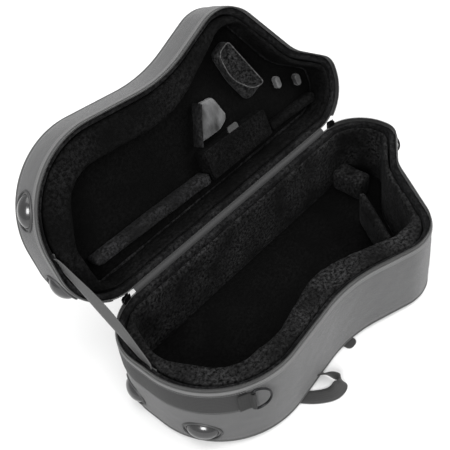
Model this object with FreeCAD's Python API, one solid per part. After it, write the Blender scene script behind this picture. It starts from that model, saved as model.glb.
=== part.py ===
import FreeCAD, Part
import math
import os

V = FreeCAD.Vector

# A contoured alto saxophone case, lying on its back and open. Millimetres, +Z up.
# The origin is on the floor, under the middle of the case's length and depth.
# +X runs along the hinge from the bow end to the neck end, and the front is at -Y.
# Plan points are given from the hinge corner of the bow end: x along the hinge, y forward (negative).

# ---- driving sizes ----
case_length = 660.0
base_depth = 139.0          # from the rim to the bottom edge
lid_depth = 67.0            # from the rim to the lid's top edge
lid_open_angle = 110.0
hinge_corner_radius = 95.0
bow_width = 290.0
bow_corner_radius = 142.0
waist_at = case_length * 307 / 660
waist_width = 257.0
waist_radius = 245.0
bell_at = case_length * 478 / 660
bell_width = 318.0          # to the corner before it is rounded
bell_corner_radius = 80.0
shoulder_at = case_length * 580 / 660
shoulder_width = 163.0
shoulder_radius = 105.0
neck_width = 107.0
neck_corner_radius = 40.0
neck_hinge_radius = 80.0
footprint_depth = 301.5     # from the hinge wall to the front of the rounded bell corner
drawn_length = 660.0        # the case that the lining's plan points are drawn for
drawn_padding_inset = 15.5

# ---- shell build-up ----
cover_thickness = 1.5
panel_thickness = 1.5
wall_thickness = 11.0
floor_thickness = 12.0
lid_floor_thickness = 10.0
piping_diameter = 5.0
piping_inset = 1.8
cover_drop = 9.0            # from the rim plane to the covers' edges
back_pad_thickness = 5.0
back_pad_inset = 34.0

# ---- zip ----
tape_thickness = 1.0
tape_inset = 1.6
tape_width = 15.9
zip_gap = 0.8               # half the gap between the two rows of teeth
teeth_height = 2.0
teeth_thickness = 2.2
base_zip_start_angle = 8.0
lid_zip_start_angle = 22.0
slider_rest_angle = 13.0
slider_clearance = 0.4
slider_plate = 1.4
slider_half_height = 5.2
slider_half_angle = 5.0
crown_height = 4.4
pull_pin_radius = 0.8
pull_pin_clearance = 0.06
pull_length = 30.0
pull_width = 9.0
pull_thickness = 1.6

# ---- lining ----
lining_gap = 3.0            # between the shell wall and the padding, for the stay strap's ends
padding_drop = 12.0
lid_padding_drop = 9.0
cavity_floor_thickness = 4.0
fit_gap = 0.3

# ---- webbing and rings ----
band_width = 46.0
band_thickness = 1.8
band_top_drop = 14.0
ring_wire_radius = 2.0
ring_half_height = 22.5
keeper_width = 40.0
keeper_wall = 1.5
keeper_tail = 22.0
bow_ring_at = 341.0         # along the outline from the bow end's hinge corner
neck_ring_width = 84.0
neck_ring_drop = 48.0
stay_width = 25.0
stay_thickness = 1.5
stay_at = 118.0
stay_drop = 14.0
stay_tail = 22.0
strap_width = 25.0
strap_thickness = 2.0

# ---- feet ----
foot_half_length = 28.0
foot_half_height = 18.5
foot_rise = 11.0
bezel_width = 4.0
bezel_rise = 3.0
stud_radius = 2.0
stud_flange_radius = 5.0
stud_length = 8.0
stud_spacing = 26.0
base_foot_drop = base_depth - piping_diameter - foot_half_height - bezel_width - 1.0
lid_foot_drop = (cover_drop + lid_depth - piping_diameter) / 2 - 0.5
front_foot_at = 258.0
hinge_foot_at = 120.0

# ---- carry handle ----
handle_span = 150.0
handle_drop = 52.0
handle_reach = 42.0
handle_pin_radius = 2.5
handle_pin_clearance = 0.08
handle_stand_off = 10.0
grip_radius = 9.0
grip_length = 104.0

rim_z = back_pad_thickness + base_depth
hinge_y = footprint_depth / 2
pivot_inset = tape_inset + tape_thickness / 2
pivot = V(0, hinge_y - pivot_inset, rim_z)

os.makedirs("parts", exist_ok=True)


def save(name, *shapes):
    """Writes one node: one solid, or several separate ones."""
    solids = [solid for shape in shapes for solid in shape.Solids]
    node = solids[0] if len(solids) == 1 else Part.makeCompound(solids)
    node.exportStep("parts/" + name + ".step")
    volume = sum(solid.Volume for solid in solids)
    print(name, len(solids), round(volume / 1000, 2), all(solid.isValid() for solid in solids))


# ---- plan outlines ----

def place(x, y, z=0.0):
    """A plan point in the row's frame."""
    return V(x - case_length / 2, y + hinge_y, z)


case_corners = [
    (0, 0, hinge_corner_radius),
    (0, -bow_width, bow_corner_radius),
    (waist_at, -waist_width, waist_radius),
    (bell_at, -bell_width, bell_corner_radius),
    (shoulder_at, -shoulder_width, shoulder_radius),
    (case_length, -neck_width, neck_corner_radius),
    (case_length, 0, neck_hinge_radius),
]


def inset_corners(corners, inset):
    """Corners of an anticlockwise outline moved inwards by inset, with the radii that keep it parallel."""
    count = len(corners)
    moved = []
    for i, (x, y, radius) in enumerate(corners):
        before = corners[i - 1]
        after = corners[(i + 1) % count]
        a = V(x - before[0], y - before[1], 0).normalize()
        b = V(after[0] - x, after[1] - y, 0).normalize()
        turn = a.x * b.y - a.y * b.x
        normal_a = V(-a.y, a.x, 0)
        normal_b = V(-b.y, b.x, 0)
        shift = (normal_a + normal_b) * (inset / (1 + normal_a.dot(normal_b)))
        moved.append((x + shift.x, y + shift.y, radius - inset if turn > 0 else radius + inset))
    return moved


def corner_arc(corners, i):
    """Start, middle and end of the arc that rounds a corner, and its centre."""
    x, y, radius = corners[i]
    before = corners[i - 1]
    after = corners[(i + 1) % len(corners)]
    corner = V(x, y, 0)
    to_before = V(before[0] - x, before[1] - y, 0).normalize()
    to_after = V(after[0] - x, after[1] - y, 0).normalize()
    half = math.acos(max(-1.0, min(1.0, to_before.dot(to_after)))) / 2
    tangent = radius / math.tan(half)
    middle_way = (to_before + to_after).normalize()
    centre = corner + middle_way * (radius / math.sin(half))
    return corner + to_before * tangent, centre - middle_way * radius, corner + to_after * tangent, centre


def wire_of(corners, z):
    """A closed wire of straight runs and tangent arcs."""
    arcs = [corner_arc(corners, i) for i in range(len(corners))]
    edges = []
    for i, (start, middle, end, _) in enumerate(arcs):
        points = [place(p.x, p.y, z) for p in (start, middle, end)]
        edges.append(Part.Arc(*points).toShape())
        following = arcs[(i + 1) % len(arcs)][0]
        run = place(following.x, following.y, z)
        if (run - points[2]).Length > 1e-6:
            edges.append(Part.LineSegment(points[2], run).toShape())
    return Part.Wire(edges)


def prism(corners, inset, low, high):
    """The outline, moved inwards, as a solid between two heights."""
    face = Part.Face(wire_of(inset_corners(corners, inset), low))
    return face.extrude(V(0, 0, high - low))


def band(outer, inner, low, high, corners=case_corners):
    """A wall that follows the outline between two insets."""
    return prism(corners, outer, low, high).cut(prism(corners, inner, low - 1, high + 1))


def outline_point(at, inset=0.0):
    """Point, direction of travel and outward normal at a distance along the case's outline."""
    wire = wire_of(case_corners, 0)
    left = at
    for edge in wire.Edges:
        if left <= edge.Length:
            first = edge.FirstParameter
            last = edge.LastParameter
            forward = edge.Orientation == "Forward"
            share = left / edge.Length
            value = first + (last - first) * (share if forward else 1 - share)
            point = edge.valueAt(value)
            along = edge.tangentAt(value)
            if not forward:
                along = along * -1
            outward = V(along.y, -along.x, 0)
            return point - outward * inset, along, outward
        left -= edge.Length
    raise ValueError("past the end of the outline")


# ---- the two halves share one build-up: heights are measured from the rim plane ----

def base_place(shape):
    """Turns rim-depth coordinates over into the base."""
    return shape.mirror(V(0, 0, 0), V(0, 0, 1)).translate(V(0, 0, rim_z))


def lid_place(shape):
    """Moves rim-depth coordinates up to the lid, and opens it about the hinge."""
    moved = shape.copy()
    moved.translate(V(0, 0, rim_z))
    moved.rotate(pivot, V(1, 0, 0), -lid_open_angle)
    return moved


def hinge_block(start_angle, low, high):
    """The stretch of the hinge wall that a zip leaves out, between two heights."""
    sine = math.sin(math.radians(start_angle))
    left = hinge_corner_radius * (1 - sine)
    right = case_length - neck_hinge_radius * (1 - sine)
    corner = place(left, -hinge_corner_radius / 2, low)
    return Part.makeBox(right - left, hinge_corner_radius, high - low, corner)


def foot_solids(at, drop, place_half):
    """Bezel, dome and studs of one oval foot on the bow end's wall."""
    point, along, outward = outline_point(at)
    up = V(0, 0, 1)
    centre = V(point.x, point.y, drop)

    def oval(half_length, half_height, low, high):
        ellipse = Part.Ellipse(V(0, 0, 0), half_length, half_height).toShape()
        solid = Part.Face(Part.Wire([ellipse])).extrude(V(0, 0, high - low))
        matrix = FreeCAD.Matrix(along.x, up.x, outward.x, centre.x + outward.x * low,
                                along.y, up.y, outward.y, centre.y + outward.y * low,
                                along.z, up.z, outward.z, centre.z + outward.z * low)
        return solid.transformGeometry(matrix)

    outside = prism(case_corners, -bezel_rise, 0, drop * 2).cut(prism(case_corners, 0, -1, drop * 2 + 1))
    reach = 25.0
    bezel = oval(foot_half_length + bezel_width, foot_half_height + bezel_width, -reach, reach)
    bezel = bezel.cut(oval(foot_half_length, foot_half_height, -reach - 1, reach + 1)).common(outside)

    ball = Part.makeSphere(1.0)
    wide = along * foot_half_length
    tall = up * foot_half_height
    deep = outward * (foot_rise * 1.6)
    squash = FreeCAD.Matrix(wide.x, tall.x, deep.x, centre.x,
                            wide.y, tall.y, deep.y, centre.y,
                            wide.z, tall.z, deep.z, centre.z)
    dome = ball.transformGeometry(squash)
    sunk = outward * (-foot_rise * 0.6)
    dome.translate(sunk)
    dome = dome.common(oval(foot_half_length - fit_gap, foot_half_height - fit_gap, -reach, reach))
    dome = dome.cut(prism(case_corners, 0, -50, drop * 2 + 50))

    studs = []
    for side in (-1, 1):
        foot = centre + along * (side * stud_spacing / 2)
        foot_inset = cover_thickness + wall_thickness / 2
        shank = Part.makeCylinder(stud_radius, stud_length, foot - outward * foot_inset, outward)
        flange = Part.makeCylinder(stud_flange_radius, 1.0, foot - outward * foot_inset, outward)
        stud = shank.fuse(flange).cut(dome).removeSplitter()
        studs.append(max(stud.Solids, key=lambda solid: solid.Volume))
    return place_half(bezel), place_half(dome), [place_half(stud) for stud in studs]


def half_shell(name, depth, floor, place_half, zip_start, foot_drop):
    """Foam shell, covers, piping, zip half and feet of the base or of the lid."""
    edge = depth - piping_diameter
    tape_top = zip_gap + teeth_height
    tape_bottom = tape_top + tape_width
    tape_back = tape_inset + tape_thickness + 0.2
    inner = cover_thickness + wall_thickness

    feet = [foot_solids(at, foot_drop, place_half) for at in (front_foot_at, hinge_foot_at)]
    bezels = [foot[0] for foot in feet]
    domes = [foot[1] for foot in feet]
    studs = [stud for foot in feet for stud in foot[2]]

    foam = prism(case_corners, tape_back, cover_drop, tape_bottom + 0.3)
    foam = foam.fuse(prism(case_corners, cover_thickness, tape_bottom + 0.3, edge))
    panel_inset = piping_inset + piping_diameter / 2 + 0.3
    foam = foam.fuse(prism(case_corners, panel_inset, edge, depth - panel_thickness))
    hollow = prism(case_corners, inner, cover_drop - 1, depth - panel_thickness - floor)
    foam = foam.cut(hollow).removeSplitter()
    foam = place_half(foam)
    cover = place_half(band(0, cover_thickness, cover_drop, edge))
    for stud in studs:
        foam = foam.cut(stud)
        cover = cover.cut(stud)
    save(name + "_foam_shell", foam)
    save(name + "_side_cover", cover)

    save(name + "_end_panel", place_half(prism(case_corners, panel_inset, depth - panel_thickness, depth)))

    spine = wire_of(inset_corners(case_corners, piping_inset), depth - piping_diameter / 2)
    start = spine.Edges[1]
    first = start.FirstParameter
    circle = Part.Circle(start.valueAt(first), start.tangentAt(first), piping_diameter / 2)
    save(name + "_piping", place_half(spine.makePipeShell([Part.Wire([circle.toShape()])], True, True)))

    tape = band(tape_inset, tape_inset + tape_thickness, tape_top, tape_bottom)
    tape = tape.cut(hinge_block(zip_start, tape_top - 1, tape_bottom + 1))
    save(name + "_zip_tape", place_half(tape))
    teeth_inset = pivot_inset - teeth_thickness / 2
    teeth = band(teeth_inset, teeth_inset + teeth_thickness, zip_gap, tape_top)
    teeth = teeth.cut(hinge_block(zip_start, 0, tape_top + 1))
    save(name + "_zip_teeth", place_half(teeth))

    save(name + "_foot_bezels", *bezels)
    save(name + "_foot_domes", *domes)
    save(name + "_foot_studs", *studs)


half_shell("base", base_depth, floor_thickness, base_place, base_zip_start_angle, base_foot_drop)
half_shell("lid", lid_depth, lid_floor_thickness, lid_place, lid_zip_start_angle, lid_foot_drop)

# ---- base lining ----
wall_inner = cover_thickness + wall_thickness
padding_outer = wall_inner + lining_gap


def stretched(drawn):
    """Plan corners drawn for the usual length, moved along with the case's own."""
    return [(x * case_length / drawn_length, y, radius) for x, y, radius in drawn]


def lining_corners(drawn):
    """Plan corners of the lining, stretched with the case's length and moved in with its walls."""
    return inset_corners(stretched(drawn), padding_outer - drawn_padding_inset)


base_floor_depth = base_depth - panel_thickness - floor_thickness
lid_floor_depth = lid_depth - panel_thickness - lid_floor_thickness

base_cavity = lining_corners([
    (58, -26, 26),
    (30, -118, 60),
    (84, -218, 70),
    (180, -226, 120),
    (304, -192, 150),
    (440, -254, 40),
    (488, -254, 30),
    (561, -145, 120),
    (636, -93, 18),
    (637, -23, 56),
])
ring = prism(case_corners, padding_outer, padding_drop, base_floor_depth)
ring = ring.cut(prism(base_cavity, 0, padding_drop - 1, base_floor_depth + 1))
save("base_padding_ring", base_place(ring))

cavity_top = base_floor_depth - cavity_floor_thickness
save("base_cavity_floor", base_place(prism(base_cavity, fit_gap, cavity_top, base_floor_depth)))

bell_divider = stretched([(452, -229, 5), (463, -235, 5), (531, -127, 5), (520, -120, 5)])
divider_drop = 52.0
save("bell_divider_pad", base_place(prism(bell_divider, 0, divider_drop, cavity_top)))
body_rest = stretched([(560, -96, 8), (600, -96, 8), (600, -30, 8), (560, -30, 8)])
body_rest_drop = 78.0
save("body_rest_pad", base_place(prism(body_rest, 0, body_rest_drop, cavity_top)))
bow_rest = stretched([(64, -176, 12), (104, -208, 20), (150, -196, 20), (104, -150, 20)])
bow_rest_drop = 88.0
save("bow_rest_pad", base_place(prism(bow_rest, 0, bow_rest_drop, cavity_top)))

# ---- underside ----
pad = prism(case_corners, back_pad_inset, base_depth, base_depth + back_pad_thickness)
save("base_back_pad", base_place(pad))

strap_low = 0.4
strap_high = strap_low + strap_thickness
large_loop = stretched([(140, -244, 22), (178, -306, 30), (238, -312, 24), (240, -244, 22)])
loop_hole = prism(large_loop, strap_width * 0.8, 0, strap_high + 1)
save("large_strap_loop", prism(large_loop, 0, strap_low, strap_high).cut(loop_hole))
small_loop = stretched([(286, -238, 3), (288, -274, 9), (311, -272, 9), (308, -238, 3)])
save("small_strap_loop", prism(small_loop, 0, strap_low, strap_high))
tab_size = 14.0
tabs = []
for x, y, _ in stretched([(166, -254, 0), (216, -254, 0), (297, -246, 0)]):
    corner = place(x - tab_size / 2, y - tab_size / 2, strap_high)
    tabs.append(Part.makeBox(tab_size, tab_size, back_pad_thickness - strap_high, corner))
save("strap_anchor_tabs", *tabs)

# ---- webbing band and rings ----
band_solid = band(-band_thickness, 0, band_top_drop, band_top_drop + band_width)
bow_point, bow_along, bow_outward = outline_point(bow_ring_at)
band_cutter = Part.makeBox(case_length * 2, case_length * 2, base_depth, V(0, -case_length, 0))
band_cutter.rotate(V(0, 0, 0), V(0, 0, 1), math.degrees(math.atan2(bow_along.y, bow_along.x)))
band_cutter.translate(bow_point - bow_along * 2)
band_solid = band_solid.cut(band_cutter)
hinge_side_start = place(hinge_corner_radius * 0.8, -hinge_corner_radius * 0.8, 0)
hinge_side = Part.makeBox(case_length, hinge_corner_radius, base_depth, hinge_side_start)
band_solid = band_solid.cut(hinge_side)
band_solid = max(base_place(band_solid).Solids, key=lambda solid: solid.Volume)
save("bow_webbing_band", band_solid)


def ring_frame(point, along, outward, height):
    """Placement whose x runs along the wall, y outwards and z up."""
    return FreeCAD.Matrix(along.x, outward.x, 0, point.x, along.y, outward.y, 0, point.y, 0, 0, 1, height)


def d_ring():
    """A D-ring of round wire about a bar on the local z axis, with its bow towards +x."""
    h = ring_half_height
    c = 5.0
    k = math.sqrt(0.5)
    edges = [
        Part.LineSegment(V(0, -(h - c), 0), V(0, h - c, 0)).toShape(),
        Part.Arc(V(0, h - c, 0), V(c - c * k, h - c + c * k, 0), V(c, h, 0)).toShape(),
        Part.Arc(V(c, h, 0), V(c + h * k, h * k, 0), V(c + h, 0, 0)).toShape(),
        Part.Arc(V(c + h, 0, 0), V(c + h * k, -h * k, 0), V(c, -h, 0)).toShape(),
        Part.Arc(V(c, -h, 0), V(c - c * k, -(h - c) - c * k, 0), V(0, -(h - c), 0)).toShape(),
    ]
    spine = Part.Wire(edges)
    circle = Part.Circle(V(0, -(h - c), 0), V(0, 1, 0), ring_wire_radius).toShape()
    ring_solid = spine.makePipeShell([Part.Wire([circle])], True, True)
    ring_solid.rotate(V(0, 0, 0), V(1, 0, 0), 90)
    return ring_solid


def keeper():
    """A webbing loop round the local z axis, with its tail lying back along the wall on -x."""
    inner = ring_wire_radius + fit_gap
    outer = inner + keeper_wall
    half = keeper_width / 2 - 2
    eye = Part.makeCylinder(outer, half * 2, V(0, 0, -half))
    tail = Part.makeBox(keeper_tail, keeper_wall * 2, half * 2, V(-keeper_tail, -outer, -half))
    return eye.fuse(tail).cut(Part.makeCylinder(inner, half * 4, V(0, 0, -half * 2))).removeSplitter()


stand = ring_wire_radius + fit_gap + keeper_wall
bow_ring_height = rim_z - band_top_drop - band_width / 2
bow_stand = stand + band_thickness + 0.6
bow_frame = ring_frame(bow_point + bow_outward * bow_stand, bow_along, bow_outward, bow_ring_height)
neck_ring_height = rim_z - neck_ring_drop
neck_bar = place(case_length, -neck_ring_width) + V(stand, 0, 0)
neck_frame = ring_frame(neck_bar, V(0, -1, 0), V(1, 0, 0), neck_ring_height)
save("bow_ring_keeper", keeper().transformGeometry(bow_frame).cut(band_solid))
save("neck_ring_keeper", keeper().transformGeometry(neck_frame))
save("bow_d_ring", d_ring().transformGeometry(bow_frame))
save("neck_d_ring", d_ring().transformGeometry(neck_frame))
print("bow ring pivot", bow_frame.A14, bow_frame.A24, bow_frame.A34)
print("neck ring pivot", neck_frame.A14, neck_frame.A24, neck_frame.A34)

# ---- zip sliders and pulls ----


def zip_slider(name, centre, radius, turn_from):
    """A slider straddling the teeth on a hinge corner's arc, and its pull hanging from the crown."""
    teeth_radius = radius - pivot_inset
    near = teeth_thickness / 2 + slider_clearance
    far = near + slider_plate
    angle = slider_half_angle * 2

    def sector(inner, outer, low, high, spread=angle):
        start = centre + V(0, 0, low)
        whole = Part.makeCylinder(outer, high - low, start, V(0, 0, 1), spread)
        hollow = Part.makeCylinder(inner, high - low, start, V(0, 0, 1), 360)
        piece = whole.cut(hollow)
        piece.rotate(centre, V(0, 0, 1), -spread / 2)
        return piece

    low = rim_z - slider_half_height
    high = rim_z + slider_half_height
    slider = sector(teeth_radius + near, teeth_radius + far, low, high)
    slider = slider.fuse(sector(teeth_radius - far, teeth_radius - near, low, high))
    post_half = zip_gap - 0.3
    reach = near + 0.5
    post = sector(teeth_radius - reach, teeth_radius + reach, rim_z - post_half, rim_z + post_half, 4)
    slider = slider.fuse(post)
    crown_half = 2.0
    crown_base = teeth_radius + far - 0.3
    pin_radius_at = teeth_radius + far + crown_height - 1.8
    crown_corner = centre + V(crown_base, -crown_half, rim_z - 4.3)
    crown = Part.makeBox(crown_height + 0.3, crown_half * 2, 3.6, crown_corner)
    pin_at = centre + V(pin_radius_at, 0, rim_z - 2.5)
    hole = pull_pin_radius + pull_pin_clearance
    pin_hole = Part.makeCylinder(hole, 10, pin_at - V(0, 5, 0), V(0, 1, 0))
    slider = slider.fuse(crown).cut(pin_hole).removeSplitter()

    arm_gap = crown_half + 0.3
    half_width = pull_width / 2
    pin = Part.makeCylinder(pull_pin_radius, half_width * 2, pin_at - V(0, half_width, 0), V(0, 1, 0))
    half_thick = pull_thickness / 2
    plate_corner = pin_at + V(-half_thick, -half_width, 0.8 - pull_length)
    plate = Part.makeBox(pull_thickness, half_width * 2, pull_length, plate_corner)
    window = Part.makeBox(pull_thickness * 3, arm_gap * 2, 8.0, pin_at + V(-half_thick * 3, -arm_gap, -5.0))
    eye_start = pin_at + V(-half_thick * 3, 0, 4.5 - pull_length)
    eye = Part.makeCylinder(1.6, pull_thickness * 3, eye_start, V(1, 0, 0))
    pull = plate.cut(window).cut(eye).fuse(pin).removeSplitter()
    for shape in (slider, pull):
        shape.rotate(centre, V(0, 0, 1), turn_from)
    save(name + "_zip_slider", slider)
    save(name + "_zip_pull", pull)
    turned = FreeCAD.Rotation(V(0, 0, 1), turn_from)
    at = centre + turned.multVec(pin_at - centre)
    axis = turned.multVec(V(0, 1, 0))
    print(name, "slider centre", centre.x, centre.y, "pull", at.x, at.y, at.z, "axis", axis.x, axis.y)


bow_centre = place(hinge_corner_radius, -hinge_corner_radius)
neck_centre = place(case_length - neck_hinge_radius, -neck_hinge_radius)
zip_slider("bow", bow_centre, hinge_corner_radius, 90 + slider_rest_angle)
zip_slider("neck", neck_centre, neck_hinge_radius, 90 - slider_rest_angle)

# ---- hinge strip, folded to the open angle ----
strip_half = zip_gap + teeth_height + tape_width
bend_start = 8.0
turn = math.radians(lid_open_angle)
bend_radius = bend_start / math.tan(turn / 2)


def strip_side(offset):
    """One face of the strip in section: up from the base, round the bend and along the lid's wall."""
    radius = bend_radius - offset
    centre = V(0, bend_radius, -bend_start)
    points = [V(0, offset, -strip_half), V(0, offset, -bend_start)]
    middle = centre + V(0, -math.cos(turn / 2), math.sin(turn / 2)) * radius
    end = centre + V(0, -math.cos(turn), math.sin(turn)) * radius
    way = V(0, math.sin(turn), math.cos(turn))
    tip = end + way * (strip_half - bend_start)
    return points[0], points[1], middle, end, tip


near_side = strip_side(tape_thickness / 2)
far_side = strip_side(-tape_thickness / 2)
strip_edges = []
for side in (near_side, far_side):
    strip_edges.append(Part.LineSegment(side[0], side[1]).toShape())
    strip_edges.append(Part.Arc(side[1], side[2], side[3]).toShape())
    strip_edges.append(Part.LineSegment(side[3], side[4]).toShape())
strip_edges.append(Part.LineSegment(near_side[0], far_side[0]).toShape())
strip_edges.append(Part.LineSegment(near_side[4], far_side[4]).toShape())
strip_face = Part.Face(Part.Wire(Part.__sortEdges__(strip_edges)))
strip_left = hinge_corner_radius + 1.0
strip_right = case_length - neck_hinge_radius - 1.0
hinge_strip = strip_face.extrude(V(strip_right - strip_left, 0, 0))
hinge_strip.translate(V(strip_left - case_length / 2, pivot.y, pivot.z))
save("hinge_strip", hinge_strip)

# ---- lid stay strap ----
stay_x = wall_inner + 0.4
stay_anchor = place(stay_x, -stay_at, rim_z - stay_drop)
lid_anchor_shape = Part.Vertex(place(stay_x, -stay_at, stay_drop))
lid_anchor = lid_place(lid_anchor_shape).Point
run = lid_anchor - stay_anchor
lean = math.degrees(math.atan2(run.z, run.y))
strap_corner = V(0, -stay_tail / 2, -stay_width / 2)
strap = Part.makeBox(stay_thickness, run.Length + stay_tail, stay_width, strap_corner)
strap.rotate(V(0, 0, 0), V(1, 0, 0), lean)
strap.translate(stay_anchor)
save("lid_stay_strap", strap)
print("stay", tuple(stay_anchor), tuple(lid_anchor), run.Length)

# ---- lid lining ----
lid_cavity = lining_corners([
    (60, -22, 26),
    (48, -112, 60),
    (92, -214, 60),
    (308, -192, 200),
    (446, -270, 40),
    (490, -262, 34),
    (556, -150, 110),
    (632, -97, 18),
    (634, -26, 52),
])
lid_ring = prism(case_corners, padding_outer, lid_padding_drop, lid_floor_depth)
lid_ring = lid_ring.cut(prism(lid_cavity, 0, lid_padding_drop - 1, lid_floor_depth + 1))
save("lid_padding_ring", lid_place(lid_ring))
lid_lining_top = lid_floor_depth - 2.0
save("lid_cavity_lining", lid_place(prism(lid_cavity, fit_gap, lid_lining_top, lid_floor_depth)))

divider_top = 24.0
long_divider = stretched([(66, -74, 5), (326, -68, 5), (326, -48, 5), (72, -58, 5)])
save("lid_long_divider", lid_place(prism(long_divider, 0, divider_top, lid_lining_top)))
cross_divider = stretched([(333, -108, 2), (339, -108, 2), (372, -176, 2), (365, -178, 2)])
save("lid_cross_divider", lid_place(prism(cross_divider, 0, divider_top + 2, lid_lining_top)))

box_outer = stretched([(330, -100, 6), (486, -96, 6), (486, -46, 6), (330, -46, 6)])
box_wall = 5.0
box_top = 28.0
accessory_box = prism(box_outer, 0, box_top, lid_lining_top)
accessory_box = accessory_box.cut(prism(box_outer, box_wall, box_top - 1, lid_lining_top + 1))
save("accessory_box", lid_place(accessory_box))
side_shelf = lining_corners([(492, -62, 6), (618, -60, 6), (618, -38, 6), (492, -46, 6)])
save("side_shelf_pad", lid_place(prism(side_shelf, 0, box_top + 4, lid_lining_top)))

# ---- accessory flap, hinged along the box's hinge-side wall ----
flap_thickness = 3.0
flap_axis_y = -46.5
flap_low = box_top - fit_gap - flap_thickness
flap_plan = stretched([(332, -103, 5), (484, -99, 5), (484, -48, 5), (332, -48, 5)])
flap = prism(flap_plan, 0, flap_low, flap_low + flap_thickness)
tongue = stretched([(396, -112, 5), (420, -112, 5), (420, -100, 2), (396, -100, 2)])
flap_tongue = prism(tongue, 0, flap_low + 1.0, flap_low + flap_thickness)
save("accessory_flap", lid_place(flap))
save("flap_pull_tab", lid_place(flap_tongue.cut(flap)))

# ---- soft pockets of the lid ----
pouch = stretched([(470, -236, 6), (512, -136, 8), (474, -118, 14), (452, -176, 30), (440, -226, 14)])
save("mouthpiece_pouch", lid_place(prism(pouch, 0, 30.0, lid_lining_top)))
satin = stretched([(340, -106, 3), (396, -106, 12), (424, -118, 14), (408, -168, 16), (377, -172, 3)])
save("satin_pocket", lid_place(prism(satin, 0, 44.0, lid_lining_top)))
loops = []
for x, y, _ in stretched([(553, -112, 0), (600, -92, 0)]):
    loop_plan = [(x - 6, y - 11, 5.5), (x + 6, y - 11, 5.5), (x + 6, y + 11, 5.5), (x - 6, y + 11, 5.5)]
    loops.append(lid_place(prism(loop_plan, 0, 44.0, lid_lining_top)))
save("satin_loops", *loops)

# ---- carry handle on the hinge wall ----
handle_z = rim_z - handle_drop
wall_y = hinge_y
pin_y = wall_y + handle_stand_off
brackets = []
for side in (-1, 1):
    x = side * handle_span / 2
    plate = Part.makeBox(26, 2.0, 34, V(x - 13, wall_y, handle_z - 17))
    plate = plate.makeFillet(5.0, [e for e in plate.Edges if abs(e.Vertexes[0].Y - e.Vertexes[1].Y) > 1])
    cheek = Part.makeBox(3.0, handle_stand_off + 4, 12, V(x - 9, wall_y + 1, handle_z - 6))
    other = cheek.copy()
    other.translate(V(15, 0, 0))
    pin = Part.makeCylinder(handle_pin_radius, 18, V(x - 9, pin_y, handle_z), V(1, 0, 0))
    brackets.append(plate.fuse([cheek, other, pin]).removeSplitter())
save("handle_brackets", *brackets)
grip_z = handle_z - handle_reach
arms = []
for side in (-1, 1):
    x = side * handle_span / 2
    barrel = Part.makeCylinder(5.0, 10.4, V(x - 5.2, pin_y, handle_z), V(1, 0, 0))
    arm = Part.makeBox(10.4, 5.0, handle_reach, V(x - 5.2, pin_y - 2.5, grip_z))
    arms.append(barrel.fuse(arm))
bar = Part.makeBox(handle_span + 10.4, 5.0, 8.0, V(-handle_span / 2 - 5.2, pin_y - 2.5, grip_z - 4.0))
bow = bar.fuse(arms)
for side in (-1, 1):
    x = side * handle_span / 2
    bore_radius = handle_pin_radius + handle_pin_clearance
    bow = bow.cut(Part.makeCylinder(bore_radius, 20, V(x - 10, pin_y, handle_z), V(1, 0, 0)))
save("handle_strap", bow.removeSplitter())
grip = Part.makeCylinder(grip_radius, grip_length, V(-grip_length / 2, pin_y, grip_z), V(1, 0, 0))
grip = grip.cut(Part.makeBox(grip_length + 2, 5.0, 8.0, V(-grip_length / 2 - 1, pin_y - 2.5, grip_z - 4.0)))
save("handle_grip", grip)
print("handle", pin_y, handle_z)
print("pivot", tuple(pivot))
flap_pivot = lid_place(Part.Vertex(place(0, flap_axis_y, flap_low + flap_thickness))).Point
print("flap pivot", tuple(flap_pivot))
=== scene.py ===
import logging
import math
from dataclasses import dataclass, field
from enum import Enum
from typing import Any, Callable, Sequence

import bmesh
import bpy
from mathutils import Matrix, Vector, noise


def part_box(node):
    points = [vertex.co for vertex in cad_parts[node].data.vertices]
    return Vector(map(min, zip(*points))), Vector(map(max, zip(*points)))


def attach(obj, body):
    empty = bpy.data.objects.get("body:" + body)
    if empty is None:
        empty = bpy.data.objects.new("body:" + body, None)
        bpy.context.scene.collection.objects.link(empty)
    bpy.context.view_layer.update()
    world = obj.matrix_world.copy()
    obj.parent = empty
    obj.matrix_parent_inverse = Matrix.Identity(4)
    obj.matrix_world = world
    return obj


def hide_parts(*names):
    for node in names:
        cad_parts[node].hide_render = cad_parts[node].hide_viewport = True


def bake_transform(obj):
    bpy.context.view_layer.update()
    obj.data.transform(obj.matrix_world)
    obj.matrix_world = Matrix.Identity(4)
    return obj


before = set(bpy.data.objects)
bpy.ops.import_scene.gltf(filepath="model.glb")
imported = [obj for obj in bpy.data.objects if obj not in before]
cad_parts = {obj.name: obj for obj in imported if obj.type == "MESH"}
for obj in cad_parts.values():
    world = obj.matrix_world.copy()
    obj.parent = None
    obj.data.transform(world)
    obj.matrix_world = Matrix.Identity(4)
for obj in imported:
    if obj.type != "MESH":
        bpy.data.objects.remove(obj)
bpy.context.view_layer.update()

MM = 0.001
LOG = logging.getLogger("contoured_case")


# ---------------------------------------------------------------- shader maths

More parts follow.
